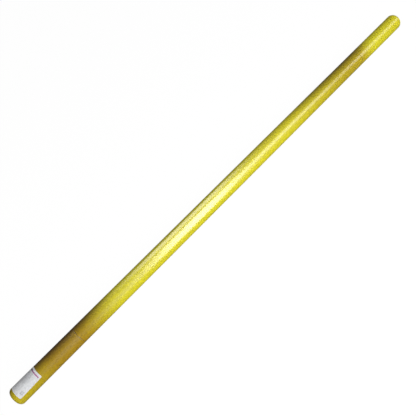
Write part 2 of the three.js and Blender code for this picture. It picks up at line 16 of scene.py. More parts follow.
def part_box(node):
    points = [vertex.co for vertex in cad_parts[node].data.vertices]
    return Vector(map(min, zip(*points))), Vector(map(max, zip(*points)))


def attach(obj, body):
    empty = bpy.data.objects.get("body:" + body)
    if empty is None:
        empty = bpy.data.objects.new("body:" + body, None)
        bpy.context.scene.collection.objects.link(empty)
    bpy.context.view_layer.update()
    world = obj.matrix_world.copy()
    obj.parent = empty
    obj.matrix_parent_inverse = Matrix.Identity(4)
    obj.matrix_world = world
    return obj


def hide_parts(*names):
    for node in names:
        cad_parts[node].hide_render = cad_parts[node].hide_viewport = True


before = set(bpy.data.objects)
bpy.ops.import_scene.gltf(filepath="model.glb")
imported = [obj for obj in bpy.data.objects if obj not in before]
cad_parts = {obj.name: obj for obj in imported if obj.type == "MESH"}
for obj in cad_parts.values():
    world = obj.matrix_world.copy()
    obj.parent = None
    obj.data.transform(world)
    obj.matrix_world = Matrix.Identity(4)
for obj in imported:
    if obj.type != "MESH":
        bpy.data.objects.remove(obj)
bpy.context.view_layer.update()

# %% [markdown]
# ## One ruler for everything
# The tube lies along X. A place along it is called a station, and its pieces are all round, so nearly
# every place here is a station and a radius. Both are read from the design's own boxes.

# %% Stations and radii
MM = 0.001


def span(node):
    """First station, last station and radius of a round piece of the design, in metres."""
    low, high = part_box(node)
    return low.x, high.x, (high.y - low.y) / 2


foot_end, foot_lip, tube_radius = span("foot_cover")
head_lip, head_end, _ = span("head_cover")
axis_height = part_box("body_tube")[0].z + tube_radius
TUBE_WALL = 2 * MM
END_WALL = 3 * MM
print("tube", round(head_end - foot_end, 4), "long,", round(2 * tube_radius, 4), "across")


def on_axis(station):
    return Vector((station, 0, axis_height))


# %% [markdown]
# ## Camera
# A small studio table is seen from above, with the tube running from the near lower left to the far
# upper right. The camera stands beside the tube's first third and looks towards its middle, so the far
# end is smaller. Its roll is found from the tube's own direction, not typed as an angle.

# %% Camera
LENS = 37.2
STAND_OFF = 1.197
CAMERA_ELEVATION = math.radians(50.5)
CAMERA_STATION = 0.414
AIM_STATION = 0.693
AIM_SIDE = 2.9 * MM
SLANT = math.radians(44.9)

towards_camera = Vector((0, -math.cos(CAMERA_ELEVATION), math.sin(CAMERA_ELEVATION)))
near_side = Vector((0, -math.sin(CAMERA_ELEVATION), -math.cos(CAMERA_ELEVATION)))

camera_data = bpy.data.cameras.new("camera")
camera_data.sensor_width = 36
camera_data.lens = LENS
camera = bpy.data.objects.new("camera", camera_data)
bpy.context.scene.collection.objects.link(camera)
camera.location = on_axis(foot_end + CAMERA_STATION) + towards_camera * STAND_OFF
forward = (on_axis(foot_end + AIM_STATION) + near_side * AIM_SIDE - camera.location).normalized()
along = Vector((1, 0, 0))
along = (along - forward * along.dot(forward)).normalized()
across = forward.cross(along)
right = along * math.cos(SLANT) + across * math.sin(SLANT)
up = along * math.sin(SLANT) - across * math.cos(SLANT)
camera.rotation_mode = "QUATERNION"
camera.rotation_quaternion = Matrix((right, up, -forward)).transposed().to_quaternion()
bpy.context.scene.camera = camera
print("camera at", [round(v, 3) for v in camera.location])

# %% [markdown]
# ## Light
# Glossy plastic shows its lights as bands along the tube. One wide fill lights the matt part of every
# surface and is left out of reflections. The shine boxes do the opposite: they only reflect. The box
# over the middle gives the pale band there, a weaker one carries it on, a small one picks out the far
# cover, and one behind the tube brightens its upper edge. Each shine stands further along than the band
# it makes, because the tube mirrors it towards the camera. Two jobs kept apart can be set one by one.

# %% Lights


def softbox(name, station, side, distance, length, width, power):
    """An area light that faces the tube. side turns it round the tube from the camera's direction."""
    data = bpy.data.lights.new(name, "AREA")
    data.shape = "RECTANGLE"
    data.size = length
    data.size_y = width
    data.energy = power
    light = bpy.data.objects.new(name, data)
    bpy.context.scene.collection.objects.link(light)
    direction = Matrix.Rotation(side, 3, "X") @ towards_camera
    light.location = on_axis(foot_end + station) + direction * distance
    width_axis = direction.cross(Vector((1, 0, 0)))
    light.matrix_world = Matrix.Translation(light.location) @ Matrix(
        (Vector((1, 0, 0)), width_axis, direction)
    ).transposed().to_4x4()
    light.visible_camera = False
    return light


FILL = {"station": 0.80, "side": math.radians(20), "distance": 2.4, "length": 2.6, "width": 2.0}
SHINE_DISTANCE = 1.5

fill = softbox("fill_softbox", power=49.5, **FILL)
fill.visible_glossy = False
for name, station, side, length, width, power in (
    ("middle_shine", 0.90, 12, 0.72, 2.3, 67),
    ("far_shine", 1.95, 9, 1.2, 1.0, 16),
    ("end_shine", 3.05, 7, 0.45, 0.9, 7),
    ("back_shine", 0.82, -68, 1.0, 1.4, 23),
):
    shine = softbox(name, station, math.radians(side), SHINE_DISTANCE, length, width, power)
    shine.visible_diffuse = False

# %% [markdown]
# ## Table and surroundings
# The table is a plain pale floor. The camera sees it almost white, with a soft contact shadow. The tube
# sees it darker, as it would a grey table outside the pool of light, which keeps the plastic's edges
# crisp. Light Path makes that difference, and both surfaces belong to the stage and not to the object.
# add is the helper that makes every node in this lesson: one call gives a node, its settings, and the
# values or links of its inputs.

# %% Floor and world
FLOOR_SIZE = 60

floor_mesh = bpy.data.meshes.new("floor")
half = FLOOR_SIZE / 2
corners = [(-half, -half, 0), (half, -half, 0), (half, half, 0), (-half, half, 0)]
floor_mesh.from_pydata(corners, [], [(0, 1, 2, 3)])
floor = bpy.data.objects.new("floor", floor_mesh)
bpy.context.scene.collection.objects.link(floor)


def add(tree, kind, values=None, **settings):
    """A node with its settings and the values of its named inputs."""
    node = tree.nodes.new(kind)
    for key, value in settings.items():
        setattr(node, key, value)
    for key, value in (values or {}).items():
        if isinstance(value, bpy.types.NodeSocket):
            tree.links.new(value, node.inputs[key])
        else:
            node.inputs[key].default_value = value
    return node


floor_material = bpy.data.materials.new("pale_floor")
floor_material.use_nodes = True
tree = floor_material.node_tree
tree.nodes.clear()
path = add(tree, "ShaderNodeLightPath")
seen_matt = add(tree, "ShaderNodeBsdfDiffuse", {"Color": (0.9, 0.9, 0.9, 1)})
seen_glow = add(tree, "ShaderNodeEmission", {"Color": (1, 1, 1, 1), "Strength": 1.04})
seen = add(tree, "ShaderNodeMixShader", {0: 0.93, 1: seen_matt.outputs[0], 2: seen_glow.outputs[0]})
bouncing = add(tree, "ShaderNodeBsdfDiffuse", {"Color": (0.7, 0.7, 0.7, 1)})
mirrored = add(tree, "ShaderNodeBsdfDiffuse", {"Color": (0.13, 0.13, 0.13, 1)})
unseen = add(tree, "ShaderNodeMixShader", {
    0: path.outputs["Is Glossy Ray"], 1: bouncing.outputs[0], 2: mirrored.outputs[0],
})
shown = add(tree, "ShaderNodeMixShader", {
    0: path.outputs["Is Camera Ray"], 1: unseen.outputs[0], 2: seen.outputs[0],
})
add(tree, "ShaderNodeOutputMaterial", {"Surface": shown.outputs[0]})
floor_mesh.materials.append(floor_material)

world = bpy.data.worlds.new("studio")
bpy.context.scene.world = world
world.use_nodes = True
tree = world.node_tree
tree.nodes.clear()
path = add(tree, "ShaderNodeLightPath")
dim = add(tree, "ShaderNodeBackground", {"Color": (1, 1, 1, 1), "Strength": 0.27})
mirrored = add(tree, "ShaderNodeBackground", {"Color": (1, 1, 1, 1), "Strength": 0.08})
bright = add(tree, "ShaderNodeBackground", {"Color": (1, 1, 1, 1), "Strength": 1.0})
around_tube = add(tree, "ShaderNodeMixShader", {
    0: path.outputs["Is Glossy Ray"], 1: dim.outputs[0], 2: mirrored.outputs[0],
})
sky = add(tree, "ShaderNodeMixShader", {
    0: path.outputs["Is Camera Ray"], 1: around_tube.outputs[0], 2: bright.outputs[0],
})
add(tree, "ShaderNodeOutputWorld", {"Surface": sky.outputs[0]})
bpy.context.scene.view_settings.view_transform = "Standard"
print("stage: floor", 2 * half, "m wide, world", world.name)

# %% [markdown]
# ## Shared surface effects
# Each effect is a small node group, built once. It reads Object coordinates, which are metres in the
# design's own frame because every piece stays at the origin, and it puts out only masks and heights.
# Shader nodes such as the Principled BSDF stay in the materials, where the export can read them.

# %% Group builder


def group(name, inputs, outputs):
    """A shader node group, with the tree and its input and output nodes."""
    tree = bpy.data.node_groups.new(name, "ShaderNodeTree")
    for socket, default in inputs.items():
        made = tree.interface.new_socket(name=socket, in_out="INPUT", socket_type="NodeSocketFloat")
        made.default_value = default
    for socket in outputs:
        tree.interface.new_socket(name=socket, in_out="OUTPUT", socket_type="NodeSocketFloat")
    return tree, tree.nodes.new("NodeGroupInput"), tree.nodes.new("NodeGroupOutput")


def maths(tree, operation, first, second=0.0, third=0.0, clamp=False):
    values = {0: first, 1: second, 2: third}
    return add(tree, "ShaderNodeMath", values, operation=operation, use_clamp=clamp).outputs[0]


def plus(tree, first, second, clamp=False):
    return maths(tree, "ADD", first, second, clamp=clamp)


def minus(tree, first, second, clamp=False):
    return maths(tree, "SUBTRACT", first, second, clamp=clamp)


def times(tree, first, second, clamp=False):
    return maths(tree, "MULTIPLY", first, second, clamp=clamp)


def times_plus(tree, first, second, third, clamp=False):
    return maths(tree, "MULTIPLY_ADD", first, second, third, clamp)


def object_point(tree):
    return add(tree, "ShaderNodeTexCoord").outputs["Object"]


def object_axis(tree, axis):
    """One object coordinate. X is the station along the tube."""
    return add(tree, "ShaderNodeSeparateXYZ", {0: object_point(tree)}).outputs[axis]


def sheet_axes(tree):
    """The two directions of a sheet's own UV map."""
    sheet = add(tree, "ShaderNodeUVMap", uv_map="sheet")
    axes = add(tree, "ShaderNodeSeparateXYZ", {0: sheet.outputs[0]})
    return axes.outputs["X"], axes.outputs["Y"]


def stretched_noise(tree, along_scale, across_scale, detail=3.0, offset=0.0):
    """Noise drawn out along the tube, for draw lines and scratches."""
    place = add(tree, "ShaderNodeCombineXYZ", {0: along_scale, 1: across_scale, 2: across_scale})
    scaled = add(tree, "ShaderNodeVectorMath", {
        0: object_point(tree), 1: place.outputs[0],
    }, operation="MULTIPLY")
    shifted = add(tree, "ShaderNodeVectorMath", {
        0: scaled.outputs[0], 1: (offset, offset, offset),
    }, operation="ADD")
    noise = add(tree, "ShaderNodeTexNoise", {"Vector": shifted.outputs[0], "Scale": 1.0, "Detail": detail})
    return noise.outputs["Fac"]


# %% [markdown]
# Four effects serve many finishes. moulded_skin is the fine unevenness that a mould or a die leaves.
# scratches are noise drawn out along the tube, kept where it is high and broken by a second noise.
# cloudy_patches vary colour and gloss slowly. dirt_at_station is a thin ring of grime in a seam, and it
# is patchy because a clean ring would look painted on.

# %% Effects: moulded skin, scratches, cloudy patches, dirt at a station
tree, given, made = group("moulded_skin", {"Scale": 900.0, "Depth": 1.0}, ["Height"])
fine = add(tree, "ShaderNodeTexNoise", {
    "Vector": object_point(tree), "Scale": given.outputs["Scale"], "Detail": 1.5,
})
tree.links.new(times(tree, fine.outputs["Fac"], given.outputs["Depth"]), made.inputs["Height"])

tree, given, made = group("scratches", {"Along": 9.0, "Across": 1500.0, "Amount": 0.5}, ["Mask"])
lines = stretched_noise(tree, given.outputs["Along"], given.outputs["Across"], 2.0)
breaks = stretched_noise(tree, 22.0, 60.0, 1.0, 7.3)
edge = minus(tree, 0.86, times(tree, given.outputs["Amount"], 0.22))
sharp = times(tree, minus(tree, lines, edge), 18.0, clamp=True)
open_mask = times(tree, minus(tree, breaks, 0.45), 6.0, clamp=True)
tree.links.new(times(tree, sharp, open_mask), made.inputs["Mask"])

tree, given, made = group("cloudy_patches", {"Scale": 14.0, "Contrast": 2.0}, ["Mask"])
cloud = add(tree, "ShaderNodeTexNoise", {
    "Vector": object_point(tree), "Scale": given.outputs["Scale"], "Detail": 4.0,
})
centred = times(tree, minus(tree, cloud.outputs["Fac"], 0.5), given.outputs["Contrast"])
tree.links.new(plus(tree, centred, 0.5, clamp=True), made.inputs["Mask"])

tree, given, made = group("dirt_at_station", {"Station": 0.0, "Reach": 0.002}, ["Mask"])
gap = maths(tree, "ABSOLUTE", minus(tree, object_axis(tree, "X"), given.outputs["Station"]))
near = minus(tree, 1.0, maths(tree, "DIVIDE", gap, given.outputs["Reach"]), clamp=True)
patchy = add(tree, "ShaderNodeTexNoise", {"Vector": object_point(tree), "Scale": 160.0, "Detail": 3.0})
broken = times(tree, patchy.outputs["Fac"], 1.5, clamp=True)
tree.links.new(times(tree, near, broken), made.inputs["Mask"])

# %% [markdown]
# The yellow is painted darker and browner over a span near each end of the tube, as painted shade where
# the light falls off. show_through fades that in and out along the tube, and back_of_tube is 1 on the
# far upper side, where less light comes back from the table and the painted shade goes deepest.

# %% Effects: painted shade between stations, and the tube's shaded side
tree, given, made = group(
    "show_through",
    {"Start": 0.0, "Full From": 0.1, "Full To": 0.2, "End": 0.3},
    ["Mask"],
)
station = object_axis(tree, "X")
ramps = []
for first, second in (("Start", "Full From"), ("Full To", "End")):
    ramp = add(tree, "ShaderNodeMapRange", {"Value": station}, interpolation_type="SMOOTHSTEP")
    tree.links.new(given.outputs[first], ramp.inputs["From Min"])
    tree.links.new(given.outputs[second], ramp.inputs["From Max"])
    ramps.append(ramp.outputs["Result"])
tree.links.new(minus(tree, ramps[0], ramps[1], clamp=True), made.inputs["Mask"])

# The darker side's direction round the axis, from the near side over the top.
BACK_DIRECTION = math.radians(140)

tree, given, made = group("back_of_tube", {"Axis Height": axis_height, "Radius": tube_radius}, ["Mask"])
height = minus(tree, object_axis(tree, "Z"), given.outputs["Axis Height"])
back = times(tree, object_axis(tree, "Y"), -math.cos(BACK_DIRECTION))
back = times_plus(tree, height, math.sin(BACK_DIRECTION), back)
back = maths(tree, "DIVIDE", back, given.outputs["Radius"], clamp=True)
tree.links.new(back, made.inputs["Mask"])
print("effects:", sorted(tree.name for tree in bpy.data.node_groups))

# %% [markdown]
# A material could be built by hand in the shader editor, but a dozen finishes built alike are better
# made by a function. material gives a Principled BSDF with plain numbers on its own sockets, effect
# places one of the groups in it, and layered lays colours over each other like thin coats of paint,
# each where its mask is.

# %% Material builder


def material(name, color, roughness, metallic=0.0):
    """A material with its tree and its Principled BSDF."""
    made = bpy.data.materials.new(name)
    made.use_nodes = True
    tree = made.node_tree
    surface = tree.nodes["Principled BSDF"]
    surface.inputs["Base Color"].default_value = (*color, 1)
    surface.inputs["Roughness"].default_value = roughness
    surface.inputs["Metallic"].default_value = metallic
    return made, tree, surface


def effect_node(tree, name, values):
    node = tree.nodes.new("ShaderNodeGroup")
    node.node_tree = bpy.data.node_groups[name]
    for key, value in values.items():
        node.inputs[key].default_value = value
    return node


def effect(tree, name, **values):
    """The mask or height that one of the effects puts out."""
    return effect_node(tree, name, values).outputs[0]


def blend_colors(tree, mask, first, second, strength=1.0):
    """first where the mask is 0, second where it is 1, both colours or colour sockets."""
    share = times(tree, mask, strength)
    node = add(tree, "ShaderNodeMix", {"Factor": share}, data_type="RGBA")
    for socket, value in ((node.inputs[6], first), (node.inputs[7], second)):
        if isinstance(value, bpy.types.NodeSocket):
            tree.links.new(value, socket)
        else:
            socket.default_value = (*value, 1)
    return node.outputs[2]


def layered(tree, color, *layers):
    """The colour under layers. Each has a mask, a colour and how strongly it shows."""
    for mask, layer, strength in layers:
        color = blend_colors(tree, mask, color, layer, strength)
    return color


def bump(tree, surface, height, distance, strength=1.0):
    node = add(tree, "ShaderNodeBump", {"Height": height, "Distance": distance, "Strength": strength})
    tree.links.new(node.outputs[0], surface.inputs["Normal"])


# %% [markdown]
# ## Yellow plastic
# The tube is extruded polyethylene: strong yellow, glossy, a little cloudy, with faint draw lines and
# hairline scratches along its length. Its skin is smooth but not polished, so its shine is strong with
# soft edges. A thin clear coat and the base under it are given nearly the same roughness, because
# together they mirror more light than one layer would.

# %% Yellow plastic
YELLOW = (0.80, 0.735, 0.019)
WARM_YELLOW = (0.78, 0.66, 0.012)
# Painted shade: SHADED_YELLOW and DEEP_BROWN darken the tube towards its ends and on its upper back side.
SHADED_YELLOW = (0.44, 0.27, 0.010)
DEEP_BROWN = (0.080, 0.034, 0.004)
SCRATCH_YELLOW = (0.90, 0.82, 0.30)
SEAM_DIRT = (0.16, 0.11, 0.03)
SEAM_HALF = 0.25 * MM
DIRT_REACH = 1.4 * MM
BASE_ROUGHNESS = 0.265

yellow_plastic, tree, surface = material("yellow_plastic", YELLOW, 0.3)
surface.inputs["Coat Weight"].default_value = 0.3
surface.inputs["Coat Roughness"].default_value = 0.26
patches = effect(tree, "cloudy_patches", Scale=11.0, Contrast=1.6)
marks = effect(tree, "scratches", Along=7.0, Across=1300.0, Amount=0.35)
skin = effect(tree, "moulded_skin", Scale=240.0, Depth=1.0)
seam_dirt = maths(
    tree, "MAXIMUM",
    effect(tree, "dirt_at_station", Station=foot_lip + SEAM_HALF, Reach=DIRT_REACH),
    effect(tree, "dirt_at_station", Station=head_lip - SEAM_HALF, Reach=DIRT_REACH),
)


def show_through(tree, start, full_from, full_to, end):
    """The group with its four stations given in metres from the foot end."""
    return effect(tree, "show_through", **{
        "Start": foot_end + start, "Full From": foot_end + full_from,
        "Full To": foot_end + full_to, "End": foot_end + end,
    })


# Painted shade: darker and browner towards both ends, and deepest brown on the upper back side.
foot_dark = show_through(tree, start=-0.15, full_from=0.17, full_to=0.20, end=0.37)
head_dark = show_through(tree, start=0.98, full_from=1.36, full_to=1.385, end=1.46)
head_dark = times(tree, head_dark, 0.66)
dark = maths(tree, "MAXIMUM", foot_dark, head_dark)
dark = times(tree, dark, times_plus(tree, patches, 0.16, 0.92), clamp=True)
shaded_side = maths(tree, "POWER", effect(tree, "back_of_tube"), 1.3)
deep = times(tree, dark, shaded_side, clamp=True)
color = layered(
    tree, YELLOW,
    (patches, WARM_YELLOW, 0.5), (dark, SHADED_YELLOW, 1.0), (deep, DEEP_BROWN, 1.0),
    (marks, SCRATCH_YELLOW, 0.2), (seam_dirt, SEAM_DIRT, 0.5),
)
tree.links.new(color, surface.inputs["Base Color"])
rough = BASE_ROUGHNESS
for mask, share in ((patches, 0.03), (marks, 0.03), (dark, -0.06), (seam_dirt, 0.3)):
    rough = times_plus(tree, mask, share, rough)
tree.links.new(rough, surface.inputs["Roughness"])
height = minus(tree, times(tree, skin, 0.5), times(tree, marks, 0.3))
bump(tree, surface, height, 0.004 * MM)
print(yellow_plastic.name, "has", len(tree.nodes), "nodes")

# %% [markdown]
# ## Turned pieces
# Tubes, covers, plugs and bushes are all one outline turned round the axis. A Geometry Nodes tree does
# the turning: it lays a grid with one row for each point of the outline, and bends it round the axis.
# An outline point's third value is the depth of a thread or of flutes there, so one tree also cuts those.

# %% The turning tree


def tree_input(tree, name, kind, default):
    """A named input of a tree. Its identifier is what a modifier needs to set it."""
    socket = tree.interface.new_socket(name=name, in_out="INPUT", socket_type=kind)
    if default is not None:
        socket.default_value = default
    return socket.identifier


def hand_over(tree, shape, given, made):
    """Ends a tree: the shape is made real and takes the material of the tree's input."""
    real = add(tree, "GeometryNodeRealizeInstances", {"Geometry": shape})
    painted = add(tree, "GeometryNodeSetMaterial", {
        "Geometry": real.outputs[0], "Material": given.outputs["Material"],
    })
    tree.links.new(painted.outputs[0], made.inputs[0])


WELD_DISTANCE = 0.001 * MM

turning = bpy.data.node_groups.new("turned_piece", "GeometryNodeTree")
turning.interface.new_socket(name="Outline", in_out="INPUT", socket_type="NodeSocketGeometry")
TURN = {
    "Segments": tree_input(turning, "Segments", "NodeSocketInt", 96),
    "Lobes": tree_input(turning, "Lobes", "NodeSocketFloat", 0.0),
    "Turns per Metre": tree_input(turning, "Turns per Metre", "NodeSocketFloat", 0.0),
    "Axis Height": tree_input(turning, "Axis Height", "NodeSocketFloat", 0.0),
    "Material": tree_input(turning, "Material", "NodeSocketMaterial", None),
}
turning.interface.new_socket(name="Piece", in_out="OUTPUT", socket_type="NodeSocketGeometry")

print("turning tree's inputs:", list(TURN))

# %% [markdown]
# A Curve to Mesh node could carry the outline round a circle too, but threads and flutes would then need
# a tree of their own. Here each row of the grid takes one outline point. The wave that cuts threads and
# flutes is a triangle: it rises and falls once for each lobe, and it moves on with the station where a
# thread has turns.

# %% How the outline is bent round the axis
given = turning.nodes.new("NodeGroupInput")
made = turning.nodes.new("NodeGroupOutput")
outline = given.outputs["Outline"]
count = add(turning, "GeometryNodeAttributeDomainSize", {"Geometry": outline}).outputs["Point Count"]
rows = plus(turning, given.outputs["Segments"], 1.0)
grid = add(turning, "GeometryNodeMeshGrid", {
    "Size X": 1.0, "Size Y": 1.0, "Vertices X": count, "Vertices Y": rows,
})
flat = add(turning, "ShaderNodeSeparateXYZ", {0: add(turning, "GeometryNodeInputPosition").outputs[0]})
last = minus(turning, count, 1.0)
number = maths(turning, "ROUND", times(turning, plus(turning, flat.outputs["X"], 0.5), last))
point = add(turning, "GeometryNodeSampleIndex", {
    "Geometry": outline, "Index": number,
}, data_type="FLOAT_VECTOR")
turning.links.new(add(turning, "GeometryNodeInputPosition").outputs[0], point.inputs["Value"])
place = add(turning, "ShaderNodeSeparateXYZ", {0: point.outputs["Value"]})
share = plus(turning, flat.outputs["Y"], 0.5)
angle = times(turning, share, 2 * math.pi)
phase = times(turning, place.outputs["X"], given.outputs["Turns per Metre"])
phase = times_plus(turning, share, given.outputs["Lobes"], phase)
wave = times(turning, maths(turning, "PINGPONG", phase, 0.5), 2.0)
depth = times(turning, wave, place.outputs["Z"])
radius = minus(turning, place.outputs["Y"], depth)
bent = add(turning, "ShaderNodeCombineXYZ", {
    "X": place.outputs["X"],
    "Y": times(turning, radius, maths(turning, "COSINE", angle)),
    "Z": plus(turning, times(turning, radius, maths(turning, "SINE", angle)), given.outputs["Axis Height"]),
})
turned_mesh = add(turning, "GeometryNodeSetPosition", {
    "Geometry": grid.outputs["Mesh"], "Position": bent.outputs[0],
})
closed_mesh = add(turning, "GeometryNodeMergeByDistance", {
    "Geometry": turned_mesh.outputs[0], "Distance": WELD_DISTANCE,
})
hand_over(turning, closed_mesh.outputs[0], given, made)
print("turning tree:", len(turning.nodes), "nodes")

# %% [markdown]
# The outline goes in as a mesh of loose points. settled takes the evaluated shape as a new plain mesh,
# so no modifier is left on the piece, and it turns the faces outwards if the volume comes out negative.
# rounded breaks the corners of an outline before it is turned, which costs far fewer faces than a
# Bevel modifier on the finished ring.

# %% Helpers that run a tree and hand over a plain mesh
SHARP_ANGLE = math.radians(32)


def linked(name, mesh):
    made = bpy.data.objects.new(name, mesh)
    bpy.context.scene.collection.objects.link(made)
    return made


def settled(source, name):
    """The evaluated shape of an object as a plain mesh piece, with its faces pointing out."""
    graph = bpy.context.evaluated_depsgraph_get()
    mesh = bpy.data.meshes.new_from_object(source.evaluated_get(graph))
    bpy.data.objects.remove(source)
    shape = bmesh.new()
    shape.from_mesh(mesh)
    inside_out = shape.calc_volume(signed=True) < 0
    shape.free()
    if inside_out:
        mesh.flip_normals()
    mesh.shade_smooth()
    mesh.set_sharp_from_angle(angle=SHARP_ANGLE)
    return linked(name, mesh)


def run_tree(name, mesh, tree, identifiers, values):
    """Gives a mesh to a Geometry Nodes tree, with the named inputs set before it is evaluated."""
    source = linked("source", mesh)
    modifier = source.modifiers.new("tree", "NODES")
    modifier.node_group = tree
    for key, value in values.items():
        modifier[identifiers[key]] = value
    return settled(source, name)


def rounded(outline, radius, steps=4):
    """The closed outline with every corner rounded. A radius is cut down where an edge is short."""
    points = []
    for index, here in enumerate(outline):
        before = Vector(outline[index - 1][:2]) - Vector(here[:2])
        after = Vector(outline[(index + 1) % len(outline)][:2]) - Vector(here[:2])
        size = min(radius, before.length * 0.45, after.length * 0.45)
        depth = here[2] if len(here) > 2 else 0.0
        a = Vector(here[:2]) + before.normalized() * size
        b = Vector(here[:2]) + after.normalized() * size
        for step in range(steps + 1):
            t = step / steps
            spot = a * (1 - t) ** 2 + Vector(here[:2]) * (2 * t * (1 - t)) + b * t ** 2
            points.append((spot.x, spot.y, depth))
    return points


def turned(name, outline, finish, segments=96, lobes=0.0, turns=0.0, height=None, closed=True):
    """A piece turned from (station, radius[, depth]) points."""
    points = [(*p, 0.0)[:3] for p in outline]
    if closed:
        points.append(points[0])
    mesh = bpy.data.meshes.new(name)
    mesh.from_pydata(points, [(i, i + 1) for i in range(len(points) - 1)], [])
    height = axis_height if height is None else height
    return run_tree(name, mesh, turning, TURN, {
        "Segments": segments, "Lobes": lobes, "Turns per Metre": turns,
        "Axis Height": height, "Material": finish,
    })


def finished(piece, body, slot, *nodes):
    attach(piece, body)
    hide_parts(*nodes)
    print(piece.name, len(piece.data.polygons), "faces")
    return piece


# %% [markdown]
# ## The yellow tube
# Three shells with one skin: the foot cover, the long tube and the head cover. The foot cover's end is
# flat inside its rounded corner, and the head cover's end swells a little. Their lips are broken by a
# small round, so that each seam shows as a fine line.

# %% Body tube and end covers
LIP_ROUND = 0.35 * MM
RIM = 5 * MM
CORNER_RADIUS = 9 * MM
HEAD_CROWN_RADIUS = 100 * MM


def tube_outline(start, end, inner, outer, edge):
    return rounded([(start, outer), (end, outer), (end, inner), (start, inner)], edge)


def end_curve(radius, corner, crown_radius, steps=10):
    """(depth, radius) points of a closed end, from the axis to the full radius."""
    ring = radius - corner
    if not crown_radius:
        return [(0.0, 0.0)] + [
            (corner - corner * math.cos(a), ring + corner * math.sin(a))
            for a in (math.pi / 2 * i / steps for i in range(steps + 1))
        ]
    depth = crown_radius - math.sqrt((crown_radius - corner) ** 2 - ring ** 2)
    meeting = math.asin(ring / (crown_radius - corner))
    crown = [
        (crown_radius - crown_radius * math.cos(a), crown_radius * math.sin(a))
        for a in (meeting * i / steps for i in range(steps))
    ]
    corner_arc = [
        (depth - corner * math.cos(a), ring + corner * math.sin(a))
        for a in (meeting + (math.pi / 2 - meeting) * i / steps for i in range(steps + 1))
    ]
    return crown + corner_arc


def cover_outline(end, lip, crown_radius):
    """Outline of an end cover, from its end wall's outside to its inside."""
    way = 1 if lip > end else -1
    inner_radius = tube_radius - TUBE_WALL
    outside = end_curve(tube_radius, CORNER_RADIUS, crown_radius)
    inner_crown = crown_radius - END_WALL if crown_radius else 0
    inside = end_curve(inner_radius, CORNER_RADIUS - TUBE_WALL, inner_crown)
    rim = rounded([
        (lip - way * RIM, tube_radius), (lip, tube_radius),
        (lip, inner_radius), (lip - way * RIM, inner_radius),
    ], LIP_ROUND)
    steps = len(rim) // 4
    return [
        *[(end + way * d, r) for d, r in outside],
        *rim[steps:3 * steps],
        *[(end + way * (d + END_WALL), r) for d, r in reversed(inside)],
    ]


SHELL_SEGMENTS = 160
for cover, end, lip, crown_radius in (
    ("foot_cover", foot_end, foot_lip, 0),
    ("head_cover", head_end, head_lip, HEAD_CROWN_RADIUS),
):
    outline = cover_outline(end, lip, crown_radius)
    piece = turned("yellow_" + cover, outline, yellow_plastic, SHELL_SEGMENTS, closed=False)
    finished(piece, cover, "yellow_tube", cover)
body_start, body_end, _ = span("body_tube")
body_outline = tube_outline(body_start, body_end, tube_radius - TUBE_WALL, tube_radius, LIP_ROUND)
body_tube = turned("yellow_body_tube", body_outline, yellow_plastic, SHELL_SEGMENTS)
finished(body_tube, "carry_tube", "yellow_tube", "body_tube")

# %% [markdown]
# ## The label
# A paper label is stuck round the upper side of the foot cover, a little askew, as labels put on by
# hand are. It is a grid bent round the tube, with its corner rows drawn in to round the corners, and a
# Solidify modifier gives it the thickness of paper. Its own UV map carries the printing, which is only
# grey rows, a square of dots and a coloured strip, drawn by these three masks. u runs along the tube.

# %% Masks for printing
def window(tree, value, low, high):
    """1 where the value lies between low and high."""
    above = maths(tree, "GREATER_THAN", value, low)
    below = maths(tree, "LESS_THAN", value, high)
    return times(tree, above, below)


def panel(tree, u, v, left, right, bottom, top):
    """1 inside a rectangle of the label's UV map."""
    return times(tree, window(tree, u, left, right), window(tree, v, bottom, top))


def cells(tree, u, v, columns, rows):
    """A random number for each cell of a grid over the UV map."""
    corner = add(tree, "ShaderNodeCombineXYZ", {
        0: maths(tree, "FLOOR", times(tree, u, columns)),
        1: maths(tree, "FLOOR", times(tree, v, rows)),
    })
    noise = add(tree, "ShaderNodeTexWhiteNoise", {"Vector": corner.outputs[0]}, noise_dimensions="2D")
    return noise.outputs["Value"]


# %% Label paper
LABEL_WHITE = (0.83, 0.84, 0.86)
LABEL_GREY = (0.55, 0.57, 0.60)
PRINT_GREY = (0.36, 0.37, 0.40)
STRIP_PURPLE = (0.20, 0.06, 0.24)
STRIP_PINK = (0.55, 0.13, 0.34)
BLOCK_GREY = (0.12, 0.12, 0.13)
TEXT_LINES = 27.0

label_paper, tree, surface = material("label_paper", LABEL_WHITE, 0.5)
surface.inputs["Sheen Weight"].default_value = 0.05
u, v = sheet_axes(tree)
fibre = effect(tree, "cloudy_patches", Scale=60.0, Contrast=1.2)
# Painted shade: a grey panel, uneven with the fibre, darkens the label's upper back half, away from the
# light.
uneven_shade = times_plus(tree, fibre, 0.5, 0.3)
shade = times(tree, panel(tree, u, v, 0.36, 0.84, 0.36, 0.93), uneven_shade)
line_rows = window(tree, maths(tree, "FRACT", times(tree, u, TEXT_LINES)), 0.25, 0.62)
words = maths(tree, "GREATER_THAN", cells(tree, u, v, TEXT_LINES, 21.0), 0.38)
text = times(tree, line_rows, times(tree, words, panel(tree, u, v, 0.40, 0.84, 0.40, 0.90)))
small_words = maths(tree, "GREATER_THAN", cells(tree, u, v, TEXT_LINES, 34.0), 0.5)
small_print = times(tree, small_words, panel(tree, u, v, 0.12, 0.30, 0.42, 0.86))
small = times(tree, line_rows, small_print)
squares = maths(tree, "GREATER_THAN", cells(tree, u, v, 110.0, 84.0), 0.45)
square_print = times(tree, squares, panel(tree, u, v, 0.12, 0.245, 0.07, 0.24))
